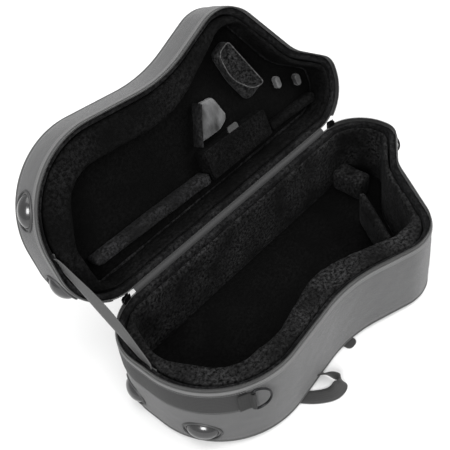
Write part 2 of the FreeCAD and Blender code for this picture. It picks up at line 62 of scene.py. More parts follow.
class Field:
    """A shader value that takes part in ordinary arithmetic."""

    def __init__(self, graph: "Graph", socket: bpy.types.NodeSocket) -> None:
        """Wraps an output socket of a graph.

        Args:
            graph: The graph that owns the socket.
            socket: The output that carries the value.
        """
        self.graph = graph
        self.socket = socket

    def _math(self, operation: str, first: Any, second: Any = 0.0) -> "Field":
        """One Math node."""
        made = self.graph.node("ShaderNodeMath", {"operation": operation}, {0: first, 1: second})
        return Field(self.graph, made.outputs[0])

    def __add__(self, other: Any) -> "Field":
        """self + other."""
        return self._math("ADD", self, other)

    __radd__ = __add__

    def __sub__(self, other: Any) -> "Field":
        """self - other."""
        return self._math("SUBTRACT", self, other)

    def __rsub__(self, other: Any) -> "Field":
        """other - self."""
        return self._math("SUBTRACT", other, self)

    def __mul__(self, other: Any) -> "Field":
        """self * other."""
        return self._math("MULTIPLY", self, other)

    __rmul__ = __mul__

    def __pow__(self, other: Any) -> "Field":
        """self ** other."""
        return self._math("POWER", self, other)

    def sine(self) -> "Field":
        """The sine of the value."""
        return self._math("SINE", self)


class Graph:
    """The node tree of one material."""

    def __init__(self, name: str) -> None:
        """Makes an empty material with a Principled shader.

        Args:
            name: The material's name.
        """
        self.material = bpy.data.materials.new(name)
        self.material.use_nodes = True
        self.tree = self.material.node_tree
        self.tree.nodes.clear()
        self.output = self.tree.nodes.new("ShaderNodeOutputMaterial")
        self.shader = self.tree.nodes.new("ShaderNodeBsdfPrincipled")
        self.tree.links.new(self.shader.outputs[0], self.output.inputs[0])

    def node(self, kind: str, settings: dict[str, Any] | None = None,
             inputs: dict[Any, Any] | None = None) -> bpy.types.Node:
        """Adds one node.

        Args:
            kind: The node's type.
            settings: Its properties, set first; "stops" fills a colour ramp.
            inputs: Values, Fields or sockets by input name or number.

        Returns:
            The node.
        """
        made = self.tree.nodes.new(kind)
        for key, value in (settings or {}).items():
            if key == "stops":
                ramp = made.color_ramp
                while len(ramp.elements) < len(value):
                    ramp.elements.new(1.0)
                for element, (place, colour) in zip(ramp.elements, value):
                    element.position = place
                    element.color = (*colour, 1.0)
            else:
                setattr(made, key, value)
        for key, value in (inputs or {}).items():
            self.feed(made.inputs[key], value)
        return made

    def feed(self, socket: bpy.types.NodeSocket, value: Any) -> None:
        """Sets a socket's value, or links it to a Field or another socket.

        Args:
            socket: The input to fill.
            value: A number, a colour, a Field or an output socket.
        """
        if isinstance(value, Field):
            self.tree.links.new(value.socket, socket)
        elif isinstance(value, bpy.types.NodeSocket):
            self.tree.links.new(value, socket)
        else:
            socket.default_value = value

    def noise(self, vector: Any, scale: float, detail: float = 2.0, rough: float = 0.5) -> Field:
        """A noise value from 0 to 1.

        Args:
            vector: The coordinates.
            scale: How many grains fit in a metre.
            detail: Octaves of finer grain.
            rough: How strong the finer grain is.

        Returns:
            The value.
        """
        made = self.node("ShaderNodeTexNoise", None,
                         {"Vector": vector, "Scale": scale, "Detail": detail, "Roughness": rough})
        return Field(self, made.outputs["Fac"])

    def cells(self, vector: Any, scale: float, randomness: float = 0.4) -> Field:
        """Distance to the nearest point of a loose lattice.

        Args:
            vector: The coordinates.
            scale: How many cells fit in a metre.
            randomness: How far the points leave the lattice.

        Returns:
            The distance.
        """
        made = self.node("ShaderNodeTexVoronoi", {"feature": "F1"},
                         {"Vector": vector, "Scale": scale, "Randomness": randomness})
        return Field(self, made.outputs["Distance"])

    def blend(self, factor: Any, low: Sequence[float], high: Sequence[float]) -> bpy.types.NodeSocket:
        """A colour between two others.

        Args:
            factor: 0 for the low colour, 1 for the high one.
            low: A colour or a colour socket.
            high: A colour or a colour socket.

        Returns:
            The mixed colour's socket.
        """
        made = self.node("ShaderNodeMix", {"data_type": "RGBA", "clamp_factor": True})
        self.feed(made.inputs[0], factor)
        self.feed(made.inputs[6], low if isinstance(low, bpy.types.NodeSocket) else (*low, 1.0))
        self.feed(made.inputs[7], high if isinstance(high, bpy.types.NodeSocket) else (*high, 1.0))
        return made.outputs[2]

    def bump(self, height: Any, distance: float, strength: float = 1.0) -> None:
        """Feeds the shader's normal from a height.

        Args:
            height: The height pattern.
            distance: Its real height, in metres.
            strength: How strongly it shades.
        """
        made = self.node("ShaderNodeBump", None,
                         {"Height": height, "Distance": distance, "Strength": strength})
        self.feed(self.shader.inputs["Normal"], made.outputs[0])


class Space(Enum):
    """Where a pattern takes its coordinates from."""

    OBJECT = "Object"
    SURFACE = "UV"


@dataclass(frozen=True)
class Woven:
    """Plain-woven nylon or webbing, with threads that run along and across the piece."""

    name: str
    slot: str
    light: tuple[float, float, float]
    dark: tuple[float, float, float]
    pitch: float = 0.9
    relief: float = 0.25
    rough: float = 0.62
    sheen: float = 0.15
    space: Space = Space.SURFACE
    rib: float = 0.0

    def make(self) -> bpy.types.Material:
        """Builds the material.

        Returns:
            The material.
        """
        g = Graph(self.name)
        where = g.node("ShaderNodeTexCoord").outputs[self.space.value]
        scale = 1.0 / (self.pitch * MM)
        body = g.node("ShaderNodeTexCoord").outputs["Object"]
        if self.space is Space.SURFACE:
            parts = g.node("ShaderNodeSeparateXYZ", None, {0: where})
            along = Field(g, parts.outputs[0]) * (2 * math.pi * scale)
            across = Field(g, parts.outputs[1]) * (2 * math.pi * scale)
            threads = along.sine() * across.sine() * 0.5 + 0.5
            if self.rib:
                ribs = (Field(g, parts.outputs[1]) * (2 * math.pi / (self.rib * MM))).sine() * 0.5 + 0.5
                threads = threads * 0.55 + ribs * 0.45
        else:
            threads = 1.0 - g.cells(where, scale, 0.25)
        mottle = g.noise(body, 9.0, 4.0, 0.6)
        slub = g.noise(body, 420.0, 2.0, 0.5)
        shade = threads * 0.45 + mottle * 0.35 + slub * 0.2
        g.feed(g.shader.inputs["Base Color"], g.blend(shade, self.dark, self.light))
        g.feed(g.shader.inputs["Roughness"], self.rough + 0.16 * mottle - 0.08 * threads)
        g.shader.inputs["Sheen Weight"].default_value = self.sheen
        g.shader.inputs["Sheen Roughness"].default_value = 0.4
        g.shader.inputs["Specular IOR Level"].default_value = 0.25
        g.bump(threads * 0.8 + slub * 0.4, self.relief * MM, 0.7)
        return g.material


@dataclass(frozen=True)
class Plush:
    """Short napped lining cloth, brushed lighter in patches."""

    name: str
    slot: str
    light: tuple[float, float, float]
    dark: tuple[float, float, float]
    sheen: float = 0.5
    tint: tuple[float, float, float] = (0.75, 0.77, 0.8)
    nap: float = 0.9

    def make(self) -> bpy.types.Material:
        """Builds the material.

        Returns:
            The material.
        """
        g = Graph(self.name)
        where = g.node("ShaderNodeTexCoord").outputs["Object"]
        brushed = g.noise(where, 16.0, 2.0, 0.5)
        clumps = g.noise(where, 190.0, 5.0, 0.8)
        fibres = g.noise(where, 800.0, 3.0, 0.7)
        tufts = g.cells(where, 420.0, 1.0)
        shade = (clumps * 4.6 - 2.0) * (brushed * 2.6 - 0.7) + fibres * 0.3 - 0.1
        g.feed(g.shader.inputs["Base Color"], g.blend(shade, self.dark, self.light))
        g.feed(g.shader.inputs["Roughness"], 0.86 + 0.12 * fibres)
        g.shader.inputs["Sheen Weight"].default_value = self.sheen
        g.shader.inputs["Sheen Roughness"].default_value = 0.35
        g.shader.inputs["Sheen Tint"].default_value = (*self.tint, 1.0)
        g.shader.inputs["Specular IOR Level"].default_value = 0.06
        g.bump(fibres * 0.4 + tufts * 0.3 + clumps * 1.2, self.nap * 2.0 * MM, 0.6)
        return g.material


@dataclass(frozen=True)
class Satin:
    """Smooth light cloth with long soft creases, its colour painted lighter on the ridges and darker in the
    creases (painted highlight and painted shade).
    """

    name: str
    slot: str
    light: tuple[float, float, float]
    dark: tuple[float, float, float]

    def make(self) -> bpy.types.Material:
        """Builds the material.

        Returns:
            The material.
        """
        g = Graph(self.name)
        where = g.node("ShaderNodeTexCoord").outputs["Object"]
        turned = g.node("ShaderNodeMapping", None,
                        {"Vector": where, "Rotation": (0.3, 0.5, 0.6), "Scale": (1.0, 0.28, 0.6)})
        folds_and_painted_shade = g.noise(turned.outputs[0], 60.0, 3.0, 0.45)
        threads = g.cells(where, 1500.0, 0.3)
        # Painted highlight and painted shade: the colour follows the fold height, lighter on the ridges and
        # near black in the creases.
        shade = folds_and_painted_shade * 2.6 - 0.85 + threads * 0.1
        g.feed(g.shader.inputs["Base Color"], g.blend(shade, self.dark, self.light))
        g.feed(g.shader.inputs["Roughness"], 0.34 + 0.22 * folds_and_painted_shade)
        g.shader.inputs["Sheen Weight"].default_value = 0.25
        g.bump(folds_and_painted_shade + threads * 0.05, 2.2 * MM, 0.6)
        return g.material


@dataclass(frozen=True)
class Moulded:
    """Moulded plastic or rubber with a fine grain and handling marks."""

    name: str
    slot: str
    colour: tuple[float, float, float]
    worn: tuple[float, float, float]
    rough: float = 0.3
    grain: float = 0.06
    coat: float = 0.0

    def make(self) -> bpy.types.Material:
        """Builds the material.

        Returns:
            The material.
        """
        g = Graph(self.name)
        where = g.node("ShaderNodeTexCoord").outputs["Object"]
        marks = g.noise(where, 55.0, 5.0, 0.65)
        grain = g.noise(where, 1800.0, 2.0, 0.6)
        shade = marks ** 3.0 * 1.4 + grain * 0.15
        g.feed(g.shader.inputs["Base Color"], g.blend(shade, self.colour, self.worn))
        g.feed(g.shader.inputs["Roughness"], self.rough + 0.22 * marks - 0.06 * grain)
        if self.coat:
            g.feed(g.shader.inputs["Coat Weight"], self.coat * (1.0 - 0.5 * marks))
            g.shader.inputs["Coat Roughness"].default_value = 0.12
        g.bump(grain + 0.3 * marks, self.grain * MM, 0.6)
        return g.material


@dataclass(frozen=True)
class Metal:
    """Plated wire or pressings, with fine scratches and dull spots."""

    name: str
    slot: str
    colour: tuple[float, float, float]
    dull: tuple[float, float, float]
    rough: float = 0.22

    def make(self) -> bpy.types.Material:
        """Builds the material.

        Returns:
            The material.
        """
        g = Graph(self.name)
        where = g.node("ShaderNodeTexCoord").outputs["Object"]
        stretched = g.node("ShaderNodeMapping", None, {"Vector": where, "Scale": (1.0, 0.12, 1.0)})
        scratches = g.noise(stretched.outputs[0], 1500.0, 3.0, 0.7)
        spots = g.noise(where, 140.0, 4.0, 0.6)
        g.feed(g.shader.inputs["Base Color"], g.blend(spots * 1.2 - 0.1, self.colour, self.dull))
        g.feed(g.shader.inputs["Metallic"], 1.0 - 0.12 * spots)
        g.feed(g.shader.inputs["Roughness"], self.rough + 0.2 * spots + 0.08 * scratches)
        g.bump(scratches * 0.5 + spots * 0.3, 0.05 * MM, 0.5)
        return g.material


class Finishes:
    """All the finishes of the case, made once each."""

    GREY = Woven("grey_oxford_nylon", "nylon_grey", (0.100, 0.100, 0.101), (0.044, 0.044, 0.045))
    HEM = Woven("grey_hem_binding", "nylon_grey", (0.14, 0.14, 0.14), (0.06, 0.06, 0.06), 1.2, 0.5, 0.6, 0.06,
                rib=2.4)
    UNDER = Woven("black_oxford_nylon", "nylon_black", (0.035, 0.035, 0.036), (0.014, 0.014, 0.014),
                  space=Space.OBJECT)
    TAPE = Woven("zip_tape_cloth", "nylon_black", (0.035, 0.035, 0.035), (0.015, 0.015, 0.015), 0.8, 0.25,
                 0.6, 0.1, rib=1.8)
    LINING = Plush("rim_lining_plush", "foam", (0.022, 0.022, 0.0225), (0.0015, 0.0015, 0.0016), 0.02)
    BAND_WEB = Woven("dark_grey_webbing", "webbing_grey", (0.031, 0.031, 0.0315), (0.009, 0.009, 0.009),
                     1.9, 0.5, 0.7, 0.06, rib=3.6)
    STAY_WEB = Woven("stay_webbing", "webbing_grey", (0.088, 0.088, 0.088), (0.03, 0.03, 0.03), 1.7, 0.4,
                     0.7, 0.1, rib=3.2)
    BLACK_WEB = Woven("black_webbing", "webbing_black", (0.045, 0.045, 0.045), (0.012, 0.012, 0.012), 1.9,
                      0.5, 0.6, 0.1, rib=3.6)
    BLACK_WEB_3D = Woven("black_webbing_flat", "webbing_black", (0.05, 0.05, 0.05), (0.014, 0.014, 0.014),
                         1.9, 0.5, 0.6, 0.1, space=Space.OBJECT)
    KEEPER_WEB = Woven("keeper_webbing", "webbing_grey", (0.022, 0.022, 0.022), (0.006, 0.006, 0.006), 1.9,
                       0.5, 0.7, 0.03, space=Space.OBJECT)
    PIPING = Woven("piping_cloth", "piping", (0.075, 0.075, 0.075), (0.03, 0.03, 0.03), 1.1, 0.3, 0.5, 0.1,
                   space=Space.OBJECT)
    PLUSH = Plush("charcoal_plush", "plush", (0.030, 0.030, 0.0305), (0.0007, 0.0007, 0.0007), 0.01)
    LID_PLUSH = Plush("lid_plush", "plush", (0.0085, 0.0085, 0.0087), (0.0003, 0.0003, 0.0003), 0.0)
    DEEP_PLUSH = Plush("black_plush", "plush", (0.003, 0.003, 0.003), (0.0004, 0.0004, 0.0004), 0.0, nap=0.5)
    BOARD = Plush("smooth_lining", "plush", (0.022, 0.022, 0.023), (0.003, 0.003, 0.003), 0.01, nap=0.3)
    POUCH = Plush("pouch_plush", "plush", (0.05, 0.05, 0.051), (0.002, 0.002, 0.002), 0.03, nap=0.5)
    LIP = Plush("pouch_lip_cloth", "plush", (0.10, 0.10, 0.10), (0.03, 0.03, 0.03), 0.03, nap=0.2)
    # Satin: the light colour is painted highlight on the fold ridges and the dark colour is painted shade in
    # the creases.
    SATIN = Satin("satin_cloth", "satin", (0.075, 0.076, 0.078), (0.003, 0.003, 0.0032))
    COIL = Moulded("zip_coil_nylon", "zip_coil", (0.01, 0.01, 0.01), (0.05, 0.05, 0.05), 0.28, 0.04)
    FEET = Moulded("glossy_foot_rubber", "foot_rubber", (0.005, 0.005, 0.0055), (0.02, 0.02, 0.021), 0.16,
                   0.03, 0.6)
    BEZEL = Moulded("foot_bezel", "foot_rubber", (0.014, 0.014, 0.0145), (0.04, 0.04, 0.04), 0.35, 0.06)
    GRIP = Moulded("grip_wrap", "grip", (0.018, 0.018, 0.018), (0.05, 0.05, 0.05), 0.55, 0.35)
    DARK_METAL = Metal("black_nickel", "dark_metal", (0.03, 0.0305, 0.032), (0.008, 0.008, 0.0085))
    STEEL = Metal("plated_steel", "steel", (0.62, 0.62, 0.63), (0.42, 0.42, 0.43))
    THREAD = Woven("grey_thread", "nylon_grey", (0.24, 0.24, 0.24), (0.13, 0.13, 0.13), 0.5,
                   space=Space.OBJECT)
    DARK_THREAD = Woven("black_thread", "nylon_black", (0.10, 0.10, 0.10), (0.04, 0.04, 0.04), 0.5,
                        space=Space.OBJECT)

    _made: dict[str, bpy.types.Material] = {}

    @classmethod
    def material(cls, finish: Any) -> bpy.types.Material:
        """The material of a finish, made when it is first asked for.

        Args:
            finish: One of the finishes.

        Returns:
            Its material.
        """
        if finish.name not in cls._made:
            cls._made[finish.name] = finish.make()
        return cls._made[finish.name]


# ---------------------------------------------------------------- meshes

def report(piece: bpy.types.Object) -> bpy.types.Object:
    """Logs a finished piece and passes it on."""
    LOG.info("%s: %d faces", piece.name, len(piece.data.polygons))
    return piece


def new_piece(name: str, mesh: bpy.types.Mesh, finish: Any) -> bpy.types.Object:
    """Puts a mesh in the scene with a finish.

    Args:
        name: The piece's name.
        mesh: Its mesh, in the row's frame.
        finish: One of the finishes.

    Returns:
        The object.
    """
    mesh.name = name
    mesh.materials.clear()
    mesh.materials.append(Finishes.material(finish))
    piece = bpy.data.objects.new(name, mesh)
    bpy.context.scene.collection.objects.link(piece)
    return piece


def smooth(mesh: bpy.types.Mesh) -> None:
    """Shades every face of a mesh smooth."""
    mesh.polygons.foreach_set("use_smooth", [True] * len(mesh.polygons))


def loft(rings: Sequence[Sequence[Vector]], around: bool = True, closed: bool = False,
         cap_first: bool = False, cap_last: bool = False) -> bpy.types.Mesh:
    """A skin over rows of points, with a UV map in metres.

    Args:
        rings: Rows of the same number of points.
        around: Whether each row is a closed loop.
        closed: Whether the last row joins the first.
        cap_first: Whether the first row is filled.
        cap_last: Whether the last row is filled.

    Returns:
        The mesh, with its faces turned outwards.
    """
    rows, count = len(rings), len(rings[0])
    middle = rings[rows // 2]
    along = [0.0]
    for i in range(count):
        along.append(along[-1] + (middle[(i + 1) % count] - middle[i]).length)
    across = [0.0]
    for j in range(rows):
        across.append(across[-1] + (rings[(j + 1) % rows][0] - rings[j][0]).length)
    points = [tuple(p) for ring in rings for p in ring]
    faces, texture = [], []
    for j in range(rows if closed else rows - 1):
        for i in range(count if around else count - 1):
            k, m = (i + 1) % count, (j + 1) % rows
            faces.append((j * count + i, j * count + k, m * count + k, m * count + i))
            texture.append(((along[i], across[j]), (along[i + 1], across[j]),
                            (along[i + 1], across[j + 1]), (along[i], across[j + 1])))
    for wanted, j in ((cap_first, 0), (cap_last, rows - 1)):
        if wanted:
            faces.append(tuple(j * count + i for i in range(count)))
            texture.append(tuple((p.x, p.y + p.z) for p in rings[j]))
    mesh = bpy.data.meshes.new("loft")
    mesh.from_pydata(points, [], faces)
    layer = mesh.uv_layers.new(name="UVMap")
    flat = [value for face in texture for pair in face for value in pair]
    layer.data.foreach_set("uv", flat)
    work = bmesh.new()
    work.from_mesh(mesh)
    big = [f for f in work.faces if len(f.verts) > 4]
    if big:
        bmesh.ops.triangulate(work, faces=big)
    bmesh.ops.recalc_face_normals(work, faces=work.faces)
    work.to_mesh(mesh)
    work.free()
    smooth(mesh)
    return mesh


@dataclass(frozen=True)
class Outline:
    """A plan outline of rounded corners (x, y, radius), in millimetres from the bow end's hinge corner."""

    corners: tuple[tuple[float, float, float], ...]
    step: float = 7.0

    def inset_corners(self, inset: float) -> list[tuple[float, float, float]]:
        """The corners moved inwards, with the radii that keep the outline parallel.

        Args:
            inset: How far inwards, in millimetres.

        Returns:
            The moved corners, as x, y and radius.
        """
        count, moved = len(self.corners), []
        for i, (x, y, radius) in enumerate(self.corners):
            before, after = self.corners[i - 1], self.corners[(i + 1) % count]
            a = Vector((x - before[0], y - before[1])).normalized()
            b = Vector((after[0] - x, after[1] - y)).normalized()
            turn = a.x * b.y - a.y * b.x
            na, nb = Vector((-a.y, a.x)), Vector((-b.y, b.x))
            shift = (na + nb) * (inset / (1 + na.dot(nb)))
            moved.append((x + shift.x, y + shift.y, max(0.4, radius - inset if turn > 0 else radius + inset)))
        return moved

    def _arcs(self, corners: Sequence[tuple[float, float, float]]
              ) -> list[tuple[Vector, Vector, Vector, float]]:
        """Start, end, centre and swept angle of each corner's arc.

        Args:
            corners: Corners as x, y and radius.

        Returns:
            One entry for each corner.
        """
        found = []
        for i, (x, y, radius) in enumerate(corners):
            before, after = corners[i - 1], corners[(i + 1) % len(corners)]
            corner = Vector((x, y))
            back = (Vector(before[:2]) - corner).normalized()
            ahead = (Vector(after[:2]) - corner).normalized()
            half = math.acos(max(-1.0, min(1.0, back.dot(ahead)))) / 2
            run = radius / math.tan(half)
            centre = corner + (back + ahead).normalized() * (radius / math.sin(half))
            start, end = corner + back * run, corner + ahead * run
            s, e = start - centre, end - centre
            sweep = math.atan2(s.x * e.y - s.y * e.x, s.dot(e))
            found.append((start, end, centre, sweep))
        return found

    def trace(self, inset: float = 0.0) -> list[Vector]:
        """Plan points round the outline, the same number whatever the inset.

        Args:
            inset: How far inwards, in millimetres.

        Returns:
            Points in millimetres from the hinge corner.
        """
        plan = self._arcs(self.corners)
        arcs = self._arcs(self.inset_corners(inset))
        points = []
        for i, (start, end, centre, sweep) in enumerate(arcs):
            pieces = max(4, round(abs(plan[i][3]) * (plan[i][0] - plan[i][2]).length / self.step))
            ray = start - centre
            for k in range(pieces):
                turn = Matrix.Rotation(sweep * k / pieces, 2)
                points.append(centre + turn @ ray)
            onward = plan[(i + 1) % len(plan)][0]
            runs = max(1, round((onward - plan[i][1]).length / self.step))
            following = arcs[(i + 1) % len(arcs)][0]
            for k in range(runs):
                points.append(end.lerp(following, k / runs))
        return points

    def lengths(self) -> list[float]:
        """Distance along the outline of each traced point.

        Returns:
            Distances in millimetres, one for each traced point.
        """
        points, total, out = self.trace(), 0.0, []
        for i, p in enumerate(points):
            out.append(total)
            total += (points[(i + 1) % len(points)] - p).length
        return out


CASE = Outline(((0, 0, 95), (0, -290, 142), (307, -257, 245), (478, -318, 80), (580, -163, 105),
                (660, -107, 40), (660, 0, 80)))
CASE_LENGTH = 660.0
HINGE_WALL = 150.75
RIM = 144.0
PIVOT = Vector((0.0, 148.65, RIM))
OPEN_ANGLE = math.radians(110.0)
STAY_ANCHOR = Vector((12.9, -118.0))
STAY_TOP, STAY_TAIL = 14.0, 34.0


class Half(Enum):
    """The two halves of the case."""

    BASE = "base"
    LID = "lid"

    def put(self, point: Vector, drop: float) -> Vector:
        """A plan point at a distance from the rim plane, in the row's frame and in metres.

        Args:
            point: A plan point, in millimetres from the hinge corner of the bow end.
            drop: How far from the rim plane towards the floor of the half, in millimetres.

        Returns:
            The point.
        """
        x, y = point.x - CASE_LENGTH / 2, point.y + HINGE_WALL
        if self is Half.BASE:
            return Vector((x, y, RIM - drop)) * MM
        c, s = math.cos(-OPEN_ANGLE), math.sin(-OPEN_ANGLE)
        dy, dz = y - PIVOT.y, drop
        return Vector((x, PIVOT.y + dy * c - dz * s, PIVOT.z + dy * s + dz * c)) * MM

    @property
    def up(self) -> Vector:
        """The direction from the floor of the half to its rim.

        Returns:
            A unit vector.
        """
        a = self.put(Vector((0, 0)), 0.0)
        b = self.put(Vector((0, 0)), 1.0)
        return (a - b).normalized()


class SoftPiece:
    """A padded piece grown from the CAD solid that it stands for."""

    def __init__(self, name: str, node: str, finish: Any, voxel: float = 4.0, relax: int = 6,
                 dent: float = 1.0, puff: float = 0.0, fill: float = 0.6, padded: bool = True) -> None:
        """Keeps what the piece is made from.

        Args:
            name: The piece's name.
            node: The CAD node that it replaces.
            finish: One of the finishes.
            voxel: The size of its faces, in millimetres.
            relax: Rounds of smoothing that soften its edges.
            dent: How deep the soft dents are, in millimetres.
            puff: How far cloth simulation may swell it, in millimetres; 0 leaves it out.
            fill: Not used.
            padded: Not used.
        """
        self.name, self.node, self.finish = name, node, finish
        self.voxel, self.relax, self.dent, self.puff = voxel, relax, dent, puff
        self.fill, self.padded = fill, padded

    def evaluated(self, mesh: bpy.types.Mesh, add: Callable[[bpy.types.Object], None]) -> bpy.types.Mesh:
        """The mesh after modifiers that add() puts on it.

        Args:
            mesh: The mesh to work on.
            add: Puts the modifiers on an object that carries it.

        Returns:
            The finished mesh.
        """
        work = bpy.data.objects.new("work", mesh)
        bpy.context.scene.collection.objects.link(work)
        add(work)
        graph = bpy.context.evaluated_depsgraph_get()
        made = bpy.data.meshes.new_from_object(work.evaluated_get(graph))
        bpy.data.objects.remove(work)
        return made

    def solid(self) -> bpy.types.Mesh:
        """The CAD solid's copy, merged into one skin.

        Returns:
            The mesh, in the row's frame.
        """
        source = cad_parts[self.node].data
        work = bmesh.new()
        work.from_mesh(source)
        bmesh.ops.remove_doubles(work, verts=work.verts, dist=1e-6)
        mesh = bpy.data.meshes.new(self.name)
        work.to_mesh(mesh)
        work.free()
        return mesh

    def _swell(self, mesh: bpy.types.Mesh) -> bpy.types.Mesh:
        """Swells the skin with air pressure, and caps how far each point moves.

        Args:
            mesh: The skin before it is swollen.

        Returns:
            The swollen skin.
        """
        before = [v.co.copy() for v in mesh.vertices]
        normals = [v.normal.copy() for v in mesh.vertices]
        for v, n in zip(mesh.vertices, normals):
            v.co = v.co - n * (self.puff * 0.5 * MM)
        work = bpy.data.objects.new("cloth_work", mesh)
        bpy.context.scene.collection.objects.link(work)
        cloth = work.modifiers.new("Cloth", "CLOTH")
        settings = cloth.settings
        settings.use_pressure = True
        settings.uniform_pressure_force = 4.0
        settings.effector_weights.gravity = 0.0
        settings.quality = 4
        scene = bpy.context.scene
        for number in range(1, 21):
            scene.frame_set(number)
        graph = bpy.context.evaluated_depsgraph_get()
        made = bpy.data.meshes.new_from_object(work.evaluated_get(graph))
        bpy.data.objects.remove(work)
        scene.frame_set(1)
        cap = self.puff * MM
        for v, start in zip(made.vertices, before):
            move = v.co - start
            if move.length > cap:
                v.co = start + move.normalized() * cap
        return made

    def build(self, body: str) -> bpy.types.Object:
        """Makes the piece.

        Args:
            body: The CAD body that it rides on.

        Returns:
            The object.
        """

        def remesh(work: bpy.types.Object) -> None:
            """Puts on one even skin and softens its edges.

            Args:
                work: The object that carries the skin.
            """
            made = work.modifiers.new("Remesh", "REMESH")
            made.mode, made.voxel_size = "VOXEL", self.voxel * MM
            if self.relax:
                rounds = work.modifiers.new("Smooth", "SMOOTH")
                rounds.factor, rounds.iterations = 0.5, self.relax

        closed = Matrix.Identity(4)
        if body in ("lid", "flap"):
            shift = Matrix.Translation(PIVOT * MM)
            closed = shift @ Matrix.Rotation(OPEN_ANGLE, 4, "X") @ shift.inverted()
        solid = self.solid()
        solid.transform(closed)
        mesh = self.evaluated(solid, remesh)
        mesh.transform(closed.inverted())
        if self.puff:
            mesh = self._swell(mesh)
        if self.dent:
            for v, n in [(v, v.normal.copy()) for v in mesh.vertices]:
                p = v.co
                wave = noise.noise(p * 28.0) * 0.7 + noise.noise(p * 75.0 + Vector((3, 1, 7))) * 0.3
                v.co = p + n * (wave * self.dent * MM)
        smooth(mesh)
        piece = new_piece(self.name, mesh, self.finish)
        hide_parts(self.node)
        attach(piece, body)
        return report(piece)


# ---------------------------------------------------------------- what repeats along a path

class Repeater:
    """Geometry Nodes that set one small part again and again along a path."""

    def __init__(self) -> None:
        """Builds the node tree once."""
        self.tree = bpy.data.node_groups.new("along_a_path", "GeometryNodeTree")
        face = self.tree.interface
        self.inputs: dict[str, str] = {}
        face.new_socket("Geometry", in_out="INPUT", socket_type="NodeSocketGeometry")
        face.new_socket("Geometry", in_out="OUTPUT", socket_type="NodeSocketGeometry")
        for name, kind in (("Pitch", "Float"), ("Along", "Float"), ("Across", "Float"), ("Tall", "Float"),
                           ("Up", "Vector"), ("Lean", "Float"), ("Seed", "Int"), ("Finish", "Material")):
            made = face.new_socket(name, in_out="INPUT", socket_type="NodeSocket" + kind)
            self.inputs[name] = made.identifier
        self._wire()

    def _add(self, kind: str, settings: dict[str, Any] | None = None,
             inputs: dict[Any, Any] | None = None) -> bpy.types.Node:
        """One node with its settings and its inputs.

        Args:
            kind: The node's type.
            settings: Its properties, set first.
            inputs: Values or sockets by input name or number.

        Returns:
            The node.
        """
        made = self.tree.nodes.new(kind)
        for key, value in (settings or {}).items():
            setattr(made, key, value)
        for key, value in (inputs or {}).items():
            if isinstance(value, bpy.types.NodeSocket):
                self.tree.links.new(value, made.inputs[key])
            else:
                made.inputs[key].default_value = value
        return made

    def _wire(self) -> None:
        """Joins the nodes: path, points, turned parts, one mesh."""
        given = self._add("NodeGroupInput")
        path = self._add("GeometryNodeMeshToCurve", None, {0: given.outputs["Geometry"]})
        spaced = self._add("GeometryNodeResampleCurve", {"mode": "LENGTH"})
        self.tree.links.new(path.outputs[0], spaced.inputs["Curve"])
        self.tree.links.new(given.outputs["Pitch"], spaced.inputs["Length"])
        part = self._add("GeometryNodeMeshUVSphere", None, {"Segments": 6, "Rings": 4, "Radius": 0.5})
        size = self._add("ShaderNodeCombineXYZ", None, {0: given.outputs["Along"], 1: given.outputs["Across"],
                                                         2: given.outputs["Tall"]})
        sized = self._add("GeometryNodeTransform", None,
                          {"Geometry": part.outputs[0], "Scale": size.outputs[0]})
        soft = self._add("GeometryNodeSetShadeSmooth", None, {"Geometry": sized.outputs[0]})
        tangent = self._add("GeometryNodeInputTangent")
        turn = self._add("FunctionNodeAxesToRotation", {"primary_axis": "X", "secondary_axis": "Z"},
                         {0: tangent.outputs[0], 1: given.outputs["Up"]})
        wobble = self._add("FunctionNodeRandomValue", {"data_type": "FLOAT"})
        wobble.inputs[2].default_value, wobble.inputs[3].default_value = -1.0, 1.0
        self.tree.links.new(given.outputs["Seed"], wobble.inputs["Seed"])
        lean = self._add("ShaderNodeMath", {"operation": "MULTIPLY_ADD"},
                         {0: wobble.outputs[1], 1: 0.06, 2: given.outputs["Lean"]})
        tilt = self._add("FunctionNodeAxisAngleToRotation", None,
                         {"Axis": (0.0, 1.0, 0.0), "Angle": lean.outputs[0]})
        turned = self._add("FunctionNodeRotateRotation", {"rotation_space": "LOCAL"},
                           {0: turn.outputs[0], 1: tilt.outputs[0]})
        placed = self._add("GeometryNodeInstanceOnPoints", None,
                           {"Points": spaced.outputs[0], "Instance": soft.outputs[0],
                            "Rotation": turned.outputs[0]})
        joined = self._add("GeometryNodeRealizeInstances", None, {0: placed.outputs[0]})
        dressed = self._add("GeometryNodeSetMaterial", None,
                            {"Geometry": joined.outputs[0], "Material": given.outputs["Finish"]})
        out = self._add("NodeGroupOutput")
        self.tree.links.new(dressed.outputs[0], out.inputs[0])

    def run(self, name: str, path: Sequence[Vector], closed: bool, finish: Any, pitch: float,
            size: tuple[float, float, float], up: Vector, lean: float = 0.0,
            seed: int = 1) -> bpy.types.Object:
        """Sets parts along a path.

        Args:
            name: The piece's name.
            path: Points in the row's frame, in metres.
            closed: Whether the path is a loop.
            finish: One of the finishes.
            pitch: Distance from one part to the next, in millimetres.
            size: Along the path, across it and tall, in millimetres.
            up: Which way is tall.
            lean: How far each part leans off the path, in radians.
            seed: Fixes the small differences between the parts.

        Returns:
            The piece.
        """
        mesh = bpy.data.meshes.new("path")
        count = len(path)
        edges = [(i, (i + 1) % count) for i in range(count if closed else count - 1)]
        mesh.from_pydata([tuple(p) for p in path], edges, [])
        host = bpy.data.objects.new("path", mesh)
        bpy.context.scene.collection.objects.link(host)
        made = host.modifiers.new("Nodes", "NODES")
        made.node_group = self.tree
        values = {"Pitch": pitch * MM, "Along": size[0] * MM, "Across": size[1] * MM, "Tall": size[2] * MM,
                  "Up": tuple(up), "Lean": lean, "Seed": seed, "Finish": Finishes.material(finish)}
        for key, value in values.items():
            made[self.inputs[key]] = value
        graph = bpy.context.evaluated_depsgraph_get()
        result = bpy.data.meshes.new_from_object(host.evaluated_get(graph))
        bpy.data.objects.remove(host)
        return new_piece(name, result, finish)


# ---------------------------------------------------------------- the case's halves

